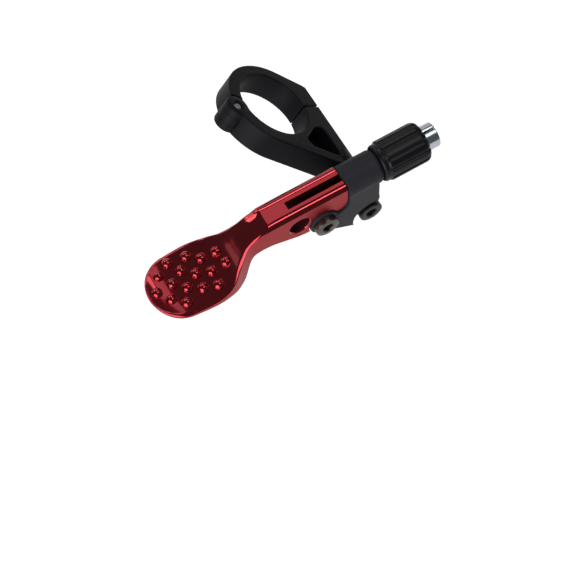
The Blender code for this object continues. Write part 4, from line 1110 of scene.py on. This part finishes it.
def floor_material():
    """White to the camera and in reflections, with the object's shadow kept."""
    made = bpy.data.materials.new("studio_floor")
    made.use_nodes = True
    nodes, links = made.node_tree.nodes, made.node_tree.links
    nodes.clear()
    out = nodes.new("ShaderNodeOutputMaterial")
    matt = nodes.new("ShaderNodeBsdfDiffuse")
    settings(matt, Color=FLOOR_GREY)
    glow = nodes.new("ShaderNodeEmission")
    settings(glow, Color=WHITE)
    path = nodes.new("ShaderNodeLightPath")
    seen = maths(nodes, links, "MAXIMUM", path.outputs["Is Camera Ray"], path.outputs["Is Glossy Ray"])
    to_camera = maths(nodes, links, "MULTIPLY", path.outputs["Is Camera Ray"], FLOOR_CAMERA_GLOW)
    to_both = maths(nodes, links, "MULTIPLY", seen, FLOOR_GLOW)
    links.new(maths(nodes, links, "ADD", to_both, to_camera), glow.inputs["Strength"])
    both = nodes.new("ShaderNodeAddShader")
    links.new(matt.outputs[0], both.inputs[0])
    links.new(glow.outputs[0], both.inputs[1])
    links.new(both.outputs[0], out.inputs["Surface"])
    return made


def make_floor():
    """A wide level floor."""
    work = bmesh.new()
    bmesh.ops.create_grid(work, x_segments=1, y_segments=1, size=4.0)
    mesh = mesh_from(work, "floor")
    floor = bpy.data.objects.new("floor", mesh)
    floor.location.z = cad_box[0][2] - FLOOR_DROP
    mesh.materials.append(floor_material())
    scene.collection.objects.link(floor)


def softbox(name, toward, reach, size, brightness):
    """A soft light seen from the object in one direction, its width running along the lever."""
    away = Vector(toward).normalized()
    across = (Vector((1.0, 0.0, 0.0)) - away * away.x).normalized()
    up = away.cross(across)
    light = bpy.data.lights.new(name, "AREA")
    light.shape = "RECTANGLE"
    light.size, light.size_y = size
    light.energy = brightness * math.pi * size[0] * size[1]
    made = bpy.data.objects.new(name, light)
    facing = Matrix((across, up, away)).transposed().to_4x4()
    made.matrix_world = Matrix.Translation(Vector(MIDDLE) + away * reach) @ facing
    made.visible_camera = False
    scene.collection.objects.link(made)
    return made


def card(left, right, near, far, height, brightness):
    """A level light above the part, between two places along the lever and two across it."""
    made = softbox("card", (0.0, 0.0, 1.0), height, (right - left, far - near), brightness)
    made.matrix_world = Matrix.Translation(((left + right) / 2, (near + far) / 2, height))
    return made


def make_world():
    """A white room to the camera, and a little even light on the part."""
    world = scene.world or bpy.data.worlds.new("studio")
    scene.world = world
    world.use_nodes = True
    nodes, links = world.node_tree.nodes, world.node_tree.links
    nodes.clear()
    out = nodes.new("ShaderNodeOutputWorld")
    back = nodes.new("ShaderNodeBackground")
    path = nodes.new("ShaderNodeLightPath")
    settings(back, Color=WHITE)
    strength = spread(nodes, links, path.outputs["Is Camera Ray"], 0.0, 1.0, ROOM_LIGHT, 1.0)
    links.new(strength, back.inputs["Strength"])
    links.new(back.outputs[0], out.inputs["Surface"])


make_world()
make_floor()
softbox("near_strip", (0.24, -0.18, 1.0), 0.65, (0.16, 0.10), 4.5)
softbox("far_strip", (0.22, 0.68, 0.74), 0.60, (0.20, 0.11), 3.6)
softbox("left_box", (-0.82, -0.55, 0.32), 0.60, (0.66, 0.54), 2.3)
softbox("far_box", (0.05, 1.0, 0.28), 0.80, (0.90, 0.36), 0.45)
softbox("crease_card", (-0.36, 0.80, 0.56), 0.35, (0.14, 0.08), 2.4)
card(0.016, 0.074, 0.040, 0.095, 0.24, 0.68)
card(0.090, 0.150, 0.045, 0.100, 0.24, 1.6)
card(0.180, 0.420, -0.300, 0.000, 0.60, 1.2)

# View
VIEW_SCALE = 3.66849845  # pixels for a millimetre at the middle of the view
VIEW_DISTANCE = 500  # millimetres
PICTURE_WIDTH = 576  # pixels
SENSOR_WIDTH = 36  # millimetres
view = bpy.data.cameras.new("view")
view.sensor_fit = "HORIZONTAL"
view.sensor_width = SENSOR_WIDTH
view.lens = VIEW_SCALE * VIEW_DISTANCE / PICTURE_WIDTH * SENSOR_WIDTH
view.clip_start = 0.01
camera = bpy.data.objects.new("view", view)
camera.matrix_world = Matrix((
    (0.8627550216, 0.4688807716, -0.1892210207, -0.115274),
    (-0.5047609063, 0.7768658521, -0.3764251257, -0.23429934),
    (-0.0294991538, 0.4202740414, 0.9069175983, 0.44501021),
    (0.0, 0.0, 0.0, 1.0),
))
scene.collection.objects.link(camera)
scene.camera = camera
scene.view_settings.view_transform = "Standard"
